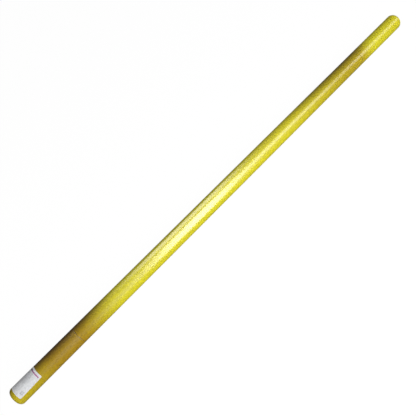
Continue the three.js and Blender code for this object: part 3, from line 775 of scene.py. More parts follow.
color = layered(
    tree, LABEL_WHITE,
    (fibre, LABEL_GREY, 0.12),
    (shade, LABEL_GREY, 0.35),
    (text, PRINT_GREY, 0.40),
    (small, PRINT_GREY, 0.28),
    (square_print, PRINT_GREY, 0.9),
    (panel(tree, u, v, 0.880, 0.925, 0.09, 0.80), blend_colors(tree, v, STRIP_PINK, STRIP_PURPLE), 0.9),
    (panel(tree, u, v, 0.875, 0.935, 0.64, 0.80), BLOCK_GREY, 0.85),
)
tree.links.new(color, surface.inputs["Base Color"])
ink = maths(tree, "MAXIMUM", text, square_print)
rough = times_plus(tree, fibre, 0.12, 0.42)
tree.links.new(minus(tree, rough, times(tree, ink, 0.1)), surface.inputs["Roughness"])
paper_grain = effect(tree, "moulded_skin", Scale=2600.0, Depth=1.0)
bump(tree, surface, paper_grain, 0.02 * MM)
print(label_paper.name, "has", len(tree.nodes), "nodes")

# %% [markdown]
# A decal painted into the cover's own material would be simpler, but a real label has an edge that
# catches light and a curl at its long sides, so it is a thin piece of its own. Its rows lie closer
# together near the ends, where the corners are round.

# %% Label sheet
LABEL_TURN = math.radians(3.4)
LABEL_TILT = math.radians(2.0)
LABEL_LIFT = 0.03 * MM
LABEL_THICKNESS = 0.12 * MM
LABEL_CORNER = 3 * MM
LABEL_CURL = 0.18 * MM
CURL_FROM = 0.9
CURL_WAVES = 70
LABEL_ROWS = (0, 0.4, 1.0, 1.9, 3.0)
LABEL_STEPS = 24
COLUMNS = 48

label_start, label_end, _ = span("foot_label")
label_length = label_end - label_start
label_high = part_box("foot_label")[1]
label_outer = label_high.z - axis_height
label_half_angle = math.asin(label_high.y / label_outer)
label_width = 2 * label_half_angle * label_outer
near_edge = [d * MM for d in LABEL_ROWS]
middle = [label_length * i / LABEL_STEPS for i in range(2, LABEL_STEPS - 1)]
lengths = near_edge + middle + [label_length - d for d in reversed(near_edge)]

vertices, uvs = [], []
for distance in lengths:
    edge = min(distance, label_length - distance, LABEL_CORNER)
    drawn_in = LABEL_CORNER - math.sqrt(LABEL_CORNER ** 2 - (LABEL_CORNER - edge) ** 2)
    half_width = label_width / 2 - drawn_in
    for column in range(COLUMNS + 1):
        share = 2 * column / COLUMNS - 1
        arc = share * half_width
        lifting = max(0.0, abs(share) - CURL_FROM) / (1 - CURL_FROM)
        curl = LABEL_CURL * lifting * (0.4 + 0.6 * math.sin(distance * CURL_WAVES) ** 2)
        angle = math.pi / 2 + LABEL_TURN + arc / label_outer
        angle += math.tan(LABEL_TILT) * (label_length / 2 - distance) / label_outer
        reach = tube_radius + LABEL_LIFT + curl
        vertices.append((
            label_start + distance + arc * math.tan(LABEL_TILT),
            reach * math.cos(angle),
            axis_height + reach * math.sin(angle),
        ))
        uvs.append((distance / label_length, 0.5 - arc / label_width))
row = COLUMNS + 1
faces = [
    (r * row + c, r * row + c + 1, (r + 1) * row + c + 1, (r + 1) * row + c)
    for r in range(len(lengths) - 1) for c in range(COLUMNS)
]
mesh = bpy.data.meshes.new("label")
mesh.from_pydata(vertices, [], faces)
layer = mesh.uv_layers.new(name="sheet")
for loop in mesh.loops:
    layer.data[loop.index].uv = uvs[loop.vertex_index]
mesh.materials.append(label_paper)
sheet_object = linked("source", mesh)
paper = sheet_object.modifiers.new("paper", "SOLIDIFY")
paper.thickness = LABEL_THICKNESS
paper.offset = 1.0
finished(settled(sheet_object, "paper_label"), "foot_cover", "label_paper", "foot_label")

# %% [markdown]
# ## Finishes of the pieces inside
# These show when the covers come off and the mast slides out. Each is built from the same few effects
# with its own values: turning rings for what a lathe made, stretched noise for drawn tube, cells for
# the crystals of hot-dip zinc, and a woven height for cloth.

# %% Effects: turning rings, drawn lines, zinc crystals, weave
tree, given, made = group("turning_rings", {"Scale": 3000.0, "Depth": 1.0}, ["Height"])
station = object_axis(tree, "X")
rings = add(tree, "ShaderNodeTexNoise", {
    "W": times(tree, station, given.outputs["Scale"]), "Scale": 1.0, "Detail": 2.0,
}, noise_dimensions="1D")
tree.links.new(times(tree, rings.outputs["Fac"], given.outputs["Depth"]), made.inputs["Height"])

tree, given, made = group("drawn_lines", {"Along": 6.0, "Across": 900.0}, ["Height"])
lines = stretched_noise(tree, given.outputs["Along"], given.outputs["Across"])
tree.links.new(lines, made.inputs["Height"])

tree, given, made = group("zinc_crystals", {"Scale": 180.0}, ["Mask"])
crystals = add(tree, "ShaderNodeTexVoronoi", {
    "Vector": object_point(tree), "Scale": given.outputs["Scale"],
})
grey = add(tree, "ShaderNodeRGBToBW", {0: crystals.outputs["Color"]})
tree.links.new(grey.outputs[0], made.inputs["Mask"])

tree, given, made = group("woven", {"Threads per Metre": 2500.0, "Rib Spacing": 0.005}, ["Height", "Rib"])
axes = sheet_axes(tree)
waves = [
    maths(tree, "SINE", times(tree, times(tree, axis, given.outputs["Threads per Metre"]), math.pi))
    for axis in axes
]
tree.links.new(times(tree, waves[0], waves[1]), made.inputs["Height"])
ribs = []
for axis in axes:
    place = maths(tree, "FRACT", maths(tree, "DIVIDE", axis, given.outputs["Rib Spacing"]))
    ribs.append(maths(tree, "LESS_THAN", place, 0.1))
tree.links.new(maths(tree, "MAXIMUM", ribs[0], ribs[1]), made.inputs["Rib"])
print("effects:", len(bpy.data.node_groups), "node groups in all")

# %% [markdown]
# Nine finishes differ only in colour, gloss, metal and the texture that their making leaves. One recipe
# builds them all from a table. Each row holds the colour, the worn colour, roughness, metallic, the
# texture's group with its values, and the depth of that texture as bump.

# %% Finishes that share one recipe


def worked_finish(name, color, worn, roughness, metallic, surface_effect, values, depth, scratch=0.3):
    """A plain finish with cloudy colour, scratches, uneven gloss and one surface texture."""
    made, tree, surface = material(name, color, roughness, metallic)
    patches = effect(tree, "cloudy_patches", Scale=38.0, Contrast=1.8)
    marks = effect(tree, "scratches", Along=14.0, Across=1700.0, Amount=scratch)
    texture = effect(tree, surface_effect, **values)
    shade = layered(tree, color, (patches, worn, 0.45), (texture, worn, 0.35), (marks, worn, 0.5))
    tree.links.new(shade, surface.inputs["Base Color"])
    rough = times_plus(tree, patches, 0.12, roughness - 0.06)
    rough = times_plus(tree, texture, 0.10, rough)
    tree.links.new(times_plus(tree, marks, 0.15, rough, clamp=True), surface.inputs["Roughness"])
    height = minus(tree, texture, times(tree, marks, 0.4))
    bump(tree, surface, height, depth)
    return made


SKIN = ("moulded_skin", {"Scale": 900.0, "Depth": 1.0})
RINGS = ("turning_rings", {"Scale": 4200.0, "Depth": 1.0})
DRAWN = ("drawn_lines", {"Along": 5.0, "Across": 1100.0})
CRYSTALS = ("zinc_crystals", {"Scale": 190.0})
FINISHES = {
    "black_nylon": ((0.020, 0.020, 0.022), (0.060, 0.060, 0.062), 0.48, 0, *SKIN, 0.05 * MM),
    "white_acetal": ((0.76, 0.75, 0.70), (0.62, 0.60, 0.54), 0.38, 0, *RINGS, 0.015 * MM),
    "black_rubber": ((0.012, 0.012, 0.013), (0.045, 0.044, 0.042), 0.75, 0, *SKIN, 0.06 * MM),
    "galvanised_steel": ((0.48, 0.50, 0.52), (0.66, 0.67, 0.68), 0.42, 0.9, *CRYSTALS, 0.02 * MM),
    "zinc_steel": ((0.62, 0.62, 0.60), (0.50, 0.48, 0.42), 0.26, 1, *RINGS, 0.01 * MM),
    "spring_steel": ((0.50, 0.50, 0.51), (0.34, 0.33, 0.33), 0.30, 1, *DRAWN, 0.01 * MM),
    "mast_aluminium": ((0.72, 0.73, 0.74), (0.60, 0.61, 0.62), 0.30, 1, *DRAWN, 0.015 * MM),
    "turned_aluminium": ((0.76, 0.77, 0.78), (0.63, 0.64, 0.65), 0.27, 1, *RINGS, 0.012 * MM),
    "brass": ((0.72, 0.50, 0.18), (0.46, 0.29, 0.10), 0.28, 1, *RINGS, 0.012 * MM),
}
finish = {name: worked_finish(name, *recipe) for name, recipe in FINISHES.items()}
print("finishes:", sorted(finish))

# %% [markdown]
# Windsock cloth is ripstop nylon: thin, dyed orange, with a grid of thicker threads that stop a tear.
# It fades in patches, and a white band is sewn between the orange ones. The strap is black polyester
# webbing. Both weaves follow the cloth's own UV map, in metres, so they run with the cloth round the
# roll and not with the room.

# %% Cloth finishes
ORANGE = (0.80, 0.125, 0.008)
FADED_ORANGE = (0.86, 0.22, 0.035)
SOCK_WHITE = (0.80, 0.79, 0.76)
THREAD_ORANGE = (0.50, 0.07, 0.006)
WHITE_FROM, WHITE_TO = 1.05, 1.62

orange_ripstop, tree, surface = material("orange_ripstop", ORANGE, 0.62)
surface.inputs["Sheen Weight"].default_value = 0.25
surface.inputs["Sheen Roughness"].default_value = 0.4
height, rib = effect_node(tree, "woven", {}).outputs
fade = effect(tree, "cloudy_patches", Scale=45.0, Contrast=2.2)
white_band = window(tree, sheet_axes(tree)[0], WHITE_FROM, WHITE_TO)
color = layered(
    tree, ORANGE,
    (fade, FADED_ORANGE, 0.5), (white_band, SOCK_WHITE, 0.95), (rib, THREAD_ORANGE, 0.25),
)
tree.links.new(color, surface.inputs["Base Color"])
rough = times_plus(tree, fade, 0.12, 0.52)
tree.links.new(times_plus(tree, rib, 0.08, rough), surface.inputs["Roughness"])
bump(tree, surface, times_plus(tree, rib, 1.5, height), 0.03 * MM)

WEBBING_BLACK = (0.020, 0.020, 0.022)
WEBBING_RIB = (0.050, 0.050, 0.055)
LINT_GREY = (0.075, 0.073, 0.070)
WEBBING_WEAVE = {"Threads per Metre": 1100.0, "Rib Spacing": 2.2 * MM}

black_webbing, tree, surface = material("black_webbing", WEBBING_BLACK, 0.85)
surface.inputs["Sheen Weight"].default_value = 0.3
height, rib = effect_node(tree, "woven", WEBBING_WEAVE).outputs
lint = effect(tree, "cloudy_patches", Scale=120.0, Contrast=2.5)
color = layered(tree, WEBBING_BLACK, (rib, WEBBING_RIB, 0.8), (lint, LINT_GREY, 0.35))
tree.links.new(color, surface.inputs["Base Color"])
tree.links.new(times_plus(tree, lint, 0.12, 0.78), surface.inputs["Roughness"])
bump(tree, surface, height, 0.12 * MM)
print("cloth finishes:", orange_ripstop.name, black_webbing.name)

# %% [markdown]
# ## Building solid parts
# Forks, nuts and spikes are not turned from one outline. They are plates and turned bodies joined by the
# Boolean modifier, and a Bevel modifier then breaks the edges, as a deburring tool does on the real ones.

# %% Plates, joins and turns
BEVEL_ANGLE = math.radians(38)


def slab(outline, thickness, y=0.0):
    """A plate parallel to the X-Z plane. Its outline is (station, height above the axis)."""
    shape = bmesh.new()
    sides = []
    for face_y in (y - thickness / 2, y + thickness / 2):
        sides.append([shape.verts.new((x, face_y, axis_height + z)) for x, z in outline])
    count = len(outline)
    shape.faces.new(sides[0])
    shape.faces.new(reversed(sides[1]))
    for i in range(count):
        j = (i + 1) % count
        shape.faces.new((sides[0][j], sides[0][i], sides[1][i], sides[1][j]))
    bmesh.ops.recalc_face_normals(shape, faces=shape.faces)
    mesh = bpy.data.meshes.new("slab")
    shape.to_mesh(mesh)
    shape.free()
    return linked("part", mesh)


def about_axis(part, angle):
    """Turns a part's mesh round the tube's axis."""
    centre = Matrix.Translation(on_axis(0))
    part.data.transform(centre @ Matrix.Rotation(angle, 4, "X") @ centre.inverted())
    return part


def crosswise(part, station):
    """Takes a part turned at height 0 and lays its axis along Y at a station."""
    part.data.transform(Matrix.Translation(on_axis(station)) @ Matrix.Rotation(math.pi / 2, 4, "Z"))
    return part


def joined(name, parts, cuts=(), common=(), edge=0.0, surface=None):
    """One solid: the first part joined to the others, cut by the cuts and kept inside the common ones."""
    base = parts[0]
    steps = [(part, "UNION") for part in parts[1:]]
    steps += [(part, "DIFFERENCE") for part in cuts]
    steps += [(part, "INTERSECT") for part in common]
    for part, operation in steps:
        step = base.modifiers.new("join", "BOOLEAN")
        step.operation = operation
        step.solver = "EXACT"
        step.object = part
    if edge:
        bevel = base.modifiers.new("edge", "BEVEL")
        bevel.width = edge
        bevel.segments = 2
        bevel.limit_method = "ANGLE"
        bevel.angle_limit = BEVEL_ANGLE
    piece = settled(base, name)
    for part, operation in steps:
        bpy.data.objects.remove(part)
    piece.data.materials.clear()
    piece.data.materials.append(surface)
    piece.data.polygons.foreach_set("material_index", [0] * len(piece.data.polygons))
    return piece


def rod(start, end, radius, segments=48, height=None):
    outline = [(start, 0), (start, radius), (end, radius), (end, 0)]
    return turned("part", outline, None, segments, height=height, closed=False)


def ring_outline(station, radius, section, steps=16):
    return [
        (station + section * math.cos(a), radius + section * math.sin(a))
        for a in (2 * math.pi * i / steps for i in range(steps))
    ]


# %% [markdown]
# ## Couplers, seals and the ground spike
# A black nylon coupler is glued into each end of the long tube, and the covers push onto them over a
# rubber seal ring. Under the lower one hangs the spike that the pole stands on in soft ground.

# %% Couplers and seal rings
COUPLER_WALL = 2.5 * MM
COUPLER_EDGE = 0.5 * MM
COUPLER_CHAMFER = 1 * MM
GROOVE_HALF = 1 * MM
GROOVE_DEPTH = 1.3 * MM
SEAL_SECTION = 0.6 * MM
BULKHEAD = 10 * MM
STUD_HOLE = 4.3 * MM


def coupler_outside(start, end, radius, seal):
    floor = radius - GROOVE_DEPTH
    return [
        (start, radius - COUPLER_CHAMFER), (start + COUPLER_CHAMFER, radius),
        (seal - GROOVE_HALF, radius), (seal - GROOVE_HALF, floor),
        (seal + GROOVE_HALF, floor), (seal + GROOVE_HALF, radius),
        (end - COUPLER_CHAMFER, radius), (end, radius - COUPLER_CHAMFER),
    ]


def coupler(node, outline):
    outline = rounded(outline, COUPLER_EDGE, 3)
    piece = turned("nylon_" + node, outline, finish["black_nylon"], 128)
    finished(piece, "carry_tube", "black_nylon", node)


seals = {}
for node in ("lower_seal_ring", "upper_seal_ring"):
    start, end, outer = span(node)
    seals[node] = (start + end) / 2
    outline = ring_outline(seals[node], outer - SEAL_SECTION, SEAL_SECTION)
    piece = turned("rubber_" + node, outline, finish["black_rubber"])
    finished(piece, "carry_tube", "black_rubber", node)

start, end, radius = span("lower_coupler")
coupler("lower_coupler", coupler_outside(start, end, radius, seals["lower_seal_ring"]) + [
    (end, STUD_HOLE), (end - BULKHEAD, STUD_HOLE),
    (end - BULKHEAD, radius - COUPLER_WALL), (start, radius - COUPLER_WALL),
])

MAST_ROOM = 0.4 * MM
start, end, radius = span("upper_coupler")
bore = span("mid_tube")[2] + MAST_ROOM
coupler("upper_coupler", coupler_outside(start, end, radius, seals["upper_seal_ring"]) + [
    (end, bore), (start, bore),
])

# %% [markdown]
# The spike is two crossed blades of galvanised steel with a common point, welded under a round flange
# whose stud passes through the coupler's bulkhead. Two plates are joined crosswise by a Boolean, which
# gives clean inner corners, and the Bevel modifier then breaks the outer edges.

# %% Ground spike
BLADE_THICKNESS = 3 * MM
BLADE_HALF = 14 * MM
POINT_LENGTH = 55 * MM
FLANGE_THICKNESS = 8 * MM
FLANGE_ROOM = 0.3 * MM
STUD_RADIUS = 4 * MM
SPIKE_EDGE = 0.3 * MM
# A hair thicker than the first blade, because a Boolean can fail on faces that coincide.
SECOND_BLADE = 1.001 * BLADE_THICKNESS

spike_tip, spike_end, flange_radius = span("ground_spike")
bulkhead_underside = span("lower_coupler")[1] - BULKHEAD
flange_end = bulkhead_underside - FLANGE_ROOM
flange_start = flange_end - FLANGE_THICKNESS
blade_end = flange_start + FLANGE_THICKNESS / 2
half_tip = BLADE_THICKNESS / 2
blade_outline = [
    (spike_tip, -half_tip), (spike_tip, half_tip), (spike_tip + POINT_LENGTH, BLADE_HALF),
    (blade_end, BLADE_HALF), (blade_end, -BLADE_HALF), (spike_tip + POINT_LENGTH, -BLADE_HALF),
]
spike = joined(
    "steel_ground_spike",
    [
        slab(blade_outline, BLADE_THICKNESS),
        about_axis(slab(blade_outline, SECOND_BLADE), math.pi / 2),
        rod(flange_start, flange_end, flange_radius, 96),
        rod(flange_end - FLANGE_THICKNESS / 2, spike_end, STUD_RADIUS),
    ],
    edge=SPIKE_EDGE, surface=finish["galvanised_steel"],
)
finished(spike, "carry_tube", "galvanised_steel", "ground_spike")

# %% [markdown]
# ## The sliding mast
# Two aluminium tubes slide out of the carry tube. Each is a drawn tube with its ends broken, and the
# lower one has a fluted nylon bush in its mouth, which the fingers grip to turn it.

# %% Mast tubes and the mouth bush
MAST_WALL = 1.5 * MM
TUBE_EDGE = 0.35 * MM
for node, body in (("mid_tube", "mid_stage"), ("top_tube", "top_stage")):
    start, end, radius = span(node)
    outline = tube_outline(start, end, radius - MAST_WALL, radius, TUBE_EDGE)
    finished(turned("drawn_" + node, outline, finish["mast_aluminium"], 112), body, "mast_aluminium", node)

BUSH_FLANGE = 5 * MM
SPIGOT_STEP = 1.8 * MM
FLUTES = 28
FLUTE_DEPTH = 0.7 * MM
FLANGE_STEPS = 8
start, end, radius = span("mid_mouth_bush")
bore = span("top_tube")[2] + MAST_ROOM
shoulder = end - BUSH_FLANGE
flange_rows = [
    (shoulder + BUSH_FLANGE * i / FLANGE_STEPS, radius, FLUTE_DEPTH if 1 < i < FLANGE_STEPS - 1 else 0)
    for i in range(FLANGE_STEPS + 1)
]
outline = [
    (start, radius - SPIGOT_STEP), (shoulder, radius - SPIGOT_STEP), *flange_rows,
    (end, bore), (start, bore),
]
piece = turned("nylon_mouth_bush", outline, finish["black_nylon"], FLUTES * 8, lobes=FLUTES)
finished(piece, "mid_stage", "black_nylon", "mid_mouth_bush")

# %% [markdown]
# ## The swivel head
# The head turns on a steel spindle that stands in the mast's top plug, on a brass washer and white
# acetal bushes. A forked yoke carries the stem of the windsock's mouth on a cross pin.

# %% Plug, washers, bush and spindle
SPINDLE_HOLE = 3.3 * MM
EDGE = 0.3 * MM
PLUG_EDGE = 0.5 * MM
WASHER_EDGE = 0.15 * MM
PLUG_FLANGE = 5 * MM
PLUG_SPIGOT_RADIUS = 14.2 * MM
PIVOT_FLANGE = 2 * MM
PIVOT_SPIGOT_RADIUS = 6.1 * MM


def bushing(name, node, body, slot, flange=None, spigot=None, flange_last=False, edge=EDGE):
    """A ring, or a bush with one flange, from the design's box and its inner sizes."""
    start, end, radius = span(node)
    if flange is None:
        outside = [(start, radius), (end, radius)]
    elif flange_last:
        step = end - flange
        outside = [(start, spigot), (step, spigot), (step, radius), (end, radius)]
    else:
        step = start + flange
        outside = [(start, radius), (step, radius), (step, spigot), (end, spigot)]
    outline = outside + [(end, SPINDLE_HOLE), (start, SPINDLE_HOLE)]
    return finished(turned(name, rounded(outline, edge), finish[slot], 80), body, slot, node)


bushing(
    "turned_head_plug", "head_plug", "top_stage", "turned_aluminium",
    PLUG_FLANGE, PLUG_SPIGOT_RADIUS, flange_last=True, edge=PLUG_EDGE,
)
bushing("brass_thrust_washer", "thrust_washer", "top_stage", "brass")
bushing(
    "acetal_lower_bush", "lower_pivot_bush", "swivel_head", "white_acetal",
    PIVOT_FLANGE, PIVOT_SPIGOT_RADIUS,
)
bushing("acetal_upper_bush", "upper_pivot_bush", "swivel_head", "white_acetal")
bushing("zinc_spindle_washer", "spindle_washer", "top_stage", "zinc_steel", edge=WASHER_EDGE)

THREAD_PITCH = 1 * MM
THREAD_DEPTH = 0.5 * MM
THREAD_LENGTH = 12 * MM
THREAD_END = 0.8 * MM
THREAD_RUN_IN = 8
THREAD_STEPS = 72
start, end, radius = span("head_spindle")
cut_length = THREAD_LENGTH - THREAD_END
thread = [
    (end - THREAD_LENGTH + cut_length * i / THREAD_STEPS, radius, THREAD_DEPTH * min(1, i / THREAD_RUN_IN))
    for i in range(THREAD_STEPS + 1)
]
outline = [
    (start, 0), (start, radius - EDGE), (start + EDGE, radius), *thread,
    (end, radius - THREAD_DEPTH), (end, 0),
]
piece = turned(
    "threaded_spindle", outline, finish["zinc_steel"], 48,
    lobes=1.0, turns=1 / THREAD_PITCH, closed=False,
)
finished(piece, "top_stage", "zinc_steel", "head_spindle")

# %% [markdown]
# A hexagon nut is a six-sided prism kept inside a chamfered turned shape. The intersection of the two
# gives the curved edges where the chamfer meets the flats, as the lathe leaves them.

# %% Hexagon nut
CHAMFER_ANGLE = math.radians(30)
FACE_SHARE = 0.97
PAST_CORNERS = 1.001
start, end, radius = span("spindle_nut")
nut_low, nut_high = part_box("spindle_nut")
corner = max((nut_high.z - nut_low.z) / 2, radius)
face_radius = corner * math.sqrt(3) / 2 * FACE_SHARE
lathe_radius = corner * PAST_CORNERS
chamfer = (corner - face_radius) * math.tan(CHAMFER_ANGLE)
hexagon = turned("part", [(start, 0), (start, corner), (end, corner), (end, 0)], None, 6, closed=False)
lathe_shape = turned("part", [
    (start, SPINDLE_HOLE), (start, face_radius), (start + chamfer, lathe_radius),
    (end - chamfer, lathe_radius), (end, face_radius), (end, SPINDLE_HOLE),
], None, 96)
nut = joined("zinc_spindle_nut", [hexagon], common=[lathe_shape], surface=finish["zinc_steel"])
finished(nut, "top_stage", "zinc_steel", "spindle_nut")

# %% [markdown]
# The yoke is a turned aluminium body with two milled cheeks. The body is turned from its outline with
# the bore and a grip groove, the cheeks are plates with round tops, and one cross hole goes through
# both. The tilt pin is turned on the tube's axis first and then laid across it.

# %% Yoke and tilt pin
FORK_HALF_GAP = 6.17 * MM
CHEEK = 5 * MM
CHEEK_HALF_WIDTH = 7 * MM
CHEEK_SINK = 0.15 * MM
YOKE_BASE = 19 * MM
YOKE_EDGE = 0.35 * MM
GROOVE_CUT = 0.8 * MM
GROOVE_ROWS = ((12, 0), (13, GROOVE_CUT), (15, GROOVE_CUT), (16, 0))
YOKE_BORE = 6.4 * MM
PIN_RADIUS = 2 * MM
PIN_HOLE = 2.3 * MM
pin_low, pin_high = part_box("tilt_pin")
tilt_station = (pin_low.x + pin_high.x) / 2
yoke_start, _, yoke_radius = span("swivel_yoke")
yoke_base_end = yoke_start + YOKE_BASE
groove = [(yoke_start + row * MM, yoke_radius - cut) for row, cut in GROOVE_ROWS]
base = turned("part", rounded([
    (yoke_start, YOKE_BORE), (yoke_start, yoke_radius), *groove,
    (yoke_base_end, yoke_radius), (yoke_base_end, YOKE_BORE),
], EDGE, 2), None, 96)
arc_steps = 28
cheek_root = yoke_base_end - CHEEK_SINK
cheek_outline = [(cheek_root, -CHEEK_HALF_WIDTH)]
cheek_outline += [
    (tilt_station + CHEEK_HALF_WIDTH * math.sin(a), -CHEEK_HALF_WIDTH * math.cos(a))
    for a in (math.pi * i / arc_steps for i in range(arc_steps + 1))
]
cheek_outline.append((cheek_root, CHEEK_HALF_WIDTH))
cheek_middle = FORK_HALF_GAP + CHEEK / 2
pin_hole = crosswise(rod(-yoke_radius, yoke_radius, PIN_HOLE, 40, height=0), tilt_station)
yoke = joined(
    "turned_swivel_yoke",
    [base, slab(cheek_outline, CHEEK, cheek_middle), slab(cheek_outline, CHEEK, -cheek_middle)],
    cuts=[pin_hole], edge=YOKE_EDGE, surface=finish["turned_aluminium"],
)
finished(yoke, "swivel_head", "turned_aluminium", "swivel_yoke")

PIN_HEAD = 1.5 * MM
PIN_CHAMFER = 0.6 * MM
half_length = pin_high.y
head_radius = (pin_high.x - pin_low.x) / 2
half_pin = [
    (half_length - PIN_HEAD, PIN_RADIUS), (half_length - PIN_HEAD, head_radius),
    (half_length - PIN_CHAMFER, head_radius), (half_length, head_radius - PIN_CHAMFER),
    (half_length, 0),
]
pin_outline = [(-place, radius) for place, radius in reversed(half_pin)] + half_pin
pin = turned("zinc_tilt_pin", pin_outline, finish["zinc_steel"], 40, height=0, closed=False)
finished(crosswise(pin, tilt_station), "swivel_head", "zinc_steel", "tilt_pin")

# %% [markdown]
# ## The folding mouth frame
# The stem carries a slotted nylon disc. Four spring ribs hang in its slots on a wire ring, like the ribs
# of an umbrella, and they lie folded along the stem while the set is packed. The ribs are one rib
# repeated round the axis by a Geometry Nodes tree.

# %% Stem and its cap
STEM_RADIUS = 4 * MM
EYE_RADIUS = 5.5 * MM
eye_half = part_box("mouth_stem")[1].y
stem_end = span("mouth_stem")[1]
eye = crosswise(rod(-eye_half, eye_half, EYE_RADIUS, 56, height=0), tilt_station)
eye_hole = crosswise(rod(-2 * eye_half, 2 * eye_half, PIN_HOLE, 40, height=0), tilt_station)
stem = joined(
    "turned_mouth_stem", [rod(tilt_station, stem_end, STEM_RADIUS, 56), eye], cuts=[eye_hole],
    edge=EDGE, surface=finish["turned_aluminium"],
)
finished(stem, "swivel_head", "turned_aluminium", "mouth_stem")

cap_start, cap_end, cap_radius = span("stem_cap")
CAP_CROWN = 3 * MM
CAP_BORE = 4.3 * MM
CAP_EDGE = 0.4 * MM
ceiling = cap_end - CAP_CROWN
cap_outline = [
    (ceiling, 0), (ceiling, CAP_BORE), (cap_start, CAP_BORE),
    (cap_start, cap_radius - CAP_EDGE), (cap_start + CAP_EDGE, cap_radius),
]
cap_outline += [
    (ceiling + CAP_CROWN * math.sin(a), cap_radius * math.cos(a))
    for a in (math.pi / 2 * i / 10 for i in range(11))
]
piece = turned("rubber_stem_cap", cap_outline, finish["black_rubber"], 64, closed=False)
finished(piece, "swivel_head", "black_rubber", "stem_cap")

# %% [markdown]
# The hub is a turned disc with a groove for the wire ring and four slots for the ribs. The slots are
# cut after the corners are rounded, so that their own edges stay sharp like a saw cut.

# %% Rib hub and its wire
RIB_CIRCLE = 10.5 * MM
RIB_COUNT = 4
SLOT_WIDTH = 3.2 * MM
SLOT_FLOOR = 7.35 * MM
SLOT_OVERRUN = 1 * MM
WIRE_RADIUS = 0.8 * MM
WIRE_GROOVE = 1.2 * MM
HUB_EDGE = 0.4 * MM
hub_start, hub_end, hub_radius = span("rib_hub")
wire_station = (hub_start + hub_end) / 2
rib_angles = [math.radians(45 + 90 * i) for i in range(RIB_COUNT)]
groove_start, groove_end = wire_station - WIRE_GROOVE, wire_station + WIRE_GROOVE
groove_floor = RIB_CIRCLE - WIRE_GROOVE
disc = turned("part", rounded([
    (hub_start, CAP_BORE), (hub_start, hub_radius), (groove_start, hub_radius),
    (groove_start, groove_floor), (groove_end, groove_floor),
    (groove_end, hub_radius), (hub_end, hub_radius), (hub_end, CAP_BORE),
], HUB_EDGE, 3), None, 96)
slot_start, slot_end = hub_start - SLOT_OVERRUN, hub_end + SLOT_OVERRUN
slot_outline = [
    (slot_start, SLOT_FLOOR), (slot_start, 2 * hub_radius),
    (slot_end, 2 * hub_radius), (slot_end, SLOT_FLOOR),
]
slots = [about_axis(slab(slot_outline, SLOT_WIDTH), angle) for angle in rib_angles]
hub = joined("nylon_rib_hub", [disc], cuts=slots, surface=finish["black_nylon"])
finished(hub, "swivel_head", "black_nylon", "rib_hub")
outline = ring_outline(wire_station, RIB_CIRCLE, WIRE_RADIUS, 12)
wire = turned("spring_rib_wire", outline, finish["spring_steel"], 80)
finished(wire, "swivel_head", "spring_steel", "rib_wire")

# %% [markdown]
# Four ribs could be four copies, but a tree with a count and a first angle says the rule once. It puts
# an instance of the part on each point of a line that has no length, turns each by its share of a full
# turn, and makes the instances real at its end.

# %% The tree that repeats a part round the axis
around = bpy.data.node_groups.new("round_the_axis", "GeometryNodeTree")
around.interface.new_socket(name="Part", in_out="INPUT", socket_type="NodeSocketGeometry")
AROUND = {
    "Count": tree_input(around, "Count", "NodeSocketInt", 4),
    "First Angle": tree_input(around, "First Angle", "NodeSocketFloat", 0.0),
    "Axis Height": tree_input(around, "Axis Height", "NodeSocketFloat", 0.0),
    "Material": tree_input(around, "Material", "NodeSocketMaterial", None),
}
around.interface.new_socket(name="Pieces", in_out="OUTPUT", socket_type="NodeSocketGeometry")
given = around.nodes.new("NodeGroupInput")
made = around.nodes.new("NodeGroupOutput")
points = add(around, "GeometryNodeMeshLine", {"Count": given.outputs["Count"], "Offset": (0, 0, 0)})
index = add(around, "GeometryNodeInputIndex").outputs[0]
step = maths(around, "DIVIDE", 2 * math.pi, given.outputs["Count"])
angle = times_plus(around, index, step, given.outputs["First Angle"])
turn = add(around, "ShaderNodeCombineXYZ", {0: angle})
copies = add(around, "GeometryNodeInstanceOnPoints", {
    "Points": points.outputs[0], "Instance": given.outputs["Part"], "Rotation": turn.outputs[0],
})
lift = add(around, "ShaderNodeCombineXYZ", {2: given.outputs["Axis Height"]})
raised = add(around, "GeometryNodeTransform", {
    "Geometry": copies.outputs[0], "Translation": lift.outputs[0],
})
hand_over(around, raised.outputs[0], given, made)
print("repeating tree:", len(around.nodes), "nodes, inputs", list(AROUND))

# %% [markdown]
# One rib is a spring steel rod with a ball at its free end and a flat eye at the other. The rod and the
# ball are one outline turned about the rib's own line, and the eye is a ring stood across it.

# %% Four folded ribs
ROD_RADIUS = 1.2 * MM
EYE_BORE = 1.2 * MM
RIB_EYE_RADIUS = 2.75 * MM
RIB_EYE_THICKNESS = 2.4 * MM
TIP_RADIUS = 2.2 * MM
EYE_EDGE = 0.25 * MM
tip_station = span("mouth_rib_1")[1] - TIP_RADIUS
neck = math.asin(ROD_RADIUS / TIP_RADIUS)
tip = [
    (tip_station - TIP_RADIUS * math.cos(a), TIP_RADIUS * math.sin(a))
    for a in (neck + (math.pi - neck) * i / 14 for i in range(15))
]
rod_start = wire_station + (EYE_BORE + RIB_EYE_RADIUS) / 2
outline = [(rod_start, 0), (rod_start, ROD_RADIUS), *tip]
spring = turned("part", outline, None, 24, height=RIB_CIRCLE, closed=False)
half_eye = RIB_EYE_THICKNESS / 2
eye_ring = turned("part", rounded([
    (-half_eye, EYE_BORE), (-half_eye, RIB_EYE_RADIUS), (half_eye, RIB_EYE_RADIUS), (half_eye, EYE_BORE),
], EYE_EDGE, 2), None, 40, height=0)
upright_eye = Matrix.Translation((wire_station, 0, RIB_CIRCLE)) @ Matrix.Rotation(math.pi / 2, 4, "Z")
eye_ring.data.transform(upright_eye)
one_rib = joined("one_rib", [spring, eye_ring], surface=finish["spring_steel"])
rib_mesh = one_rib.data
bpy.data.objects.remove(one_rib)
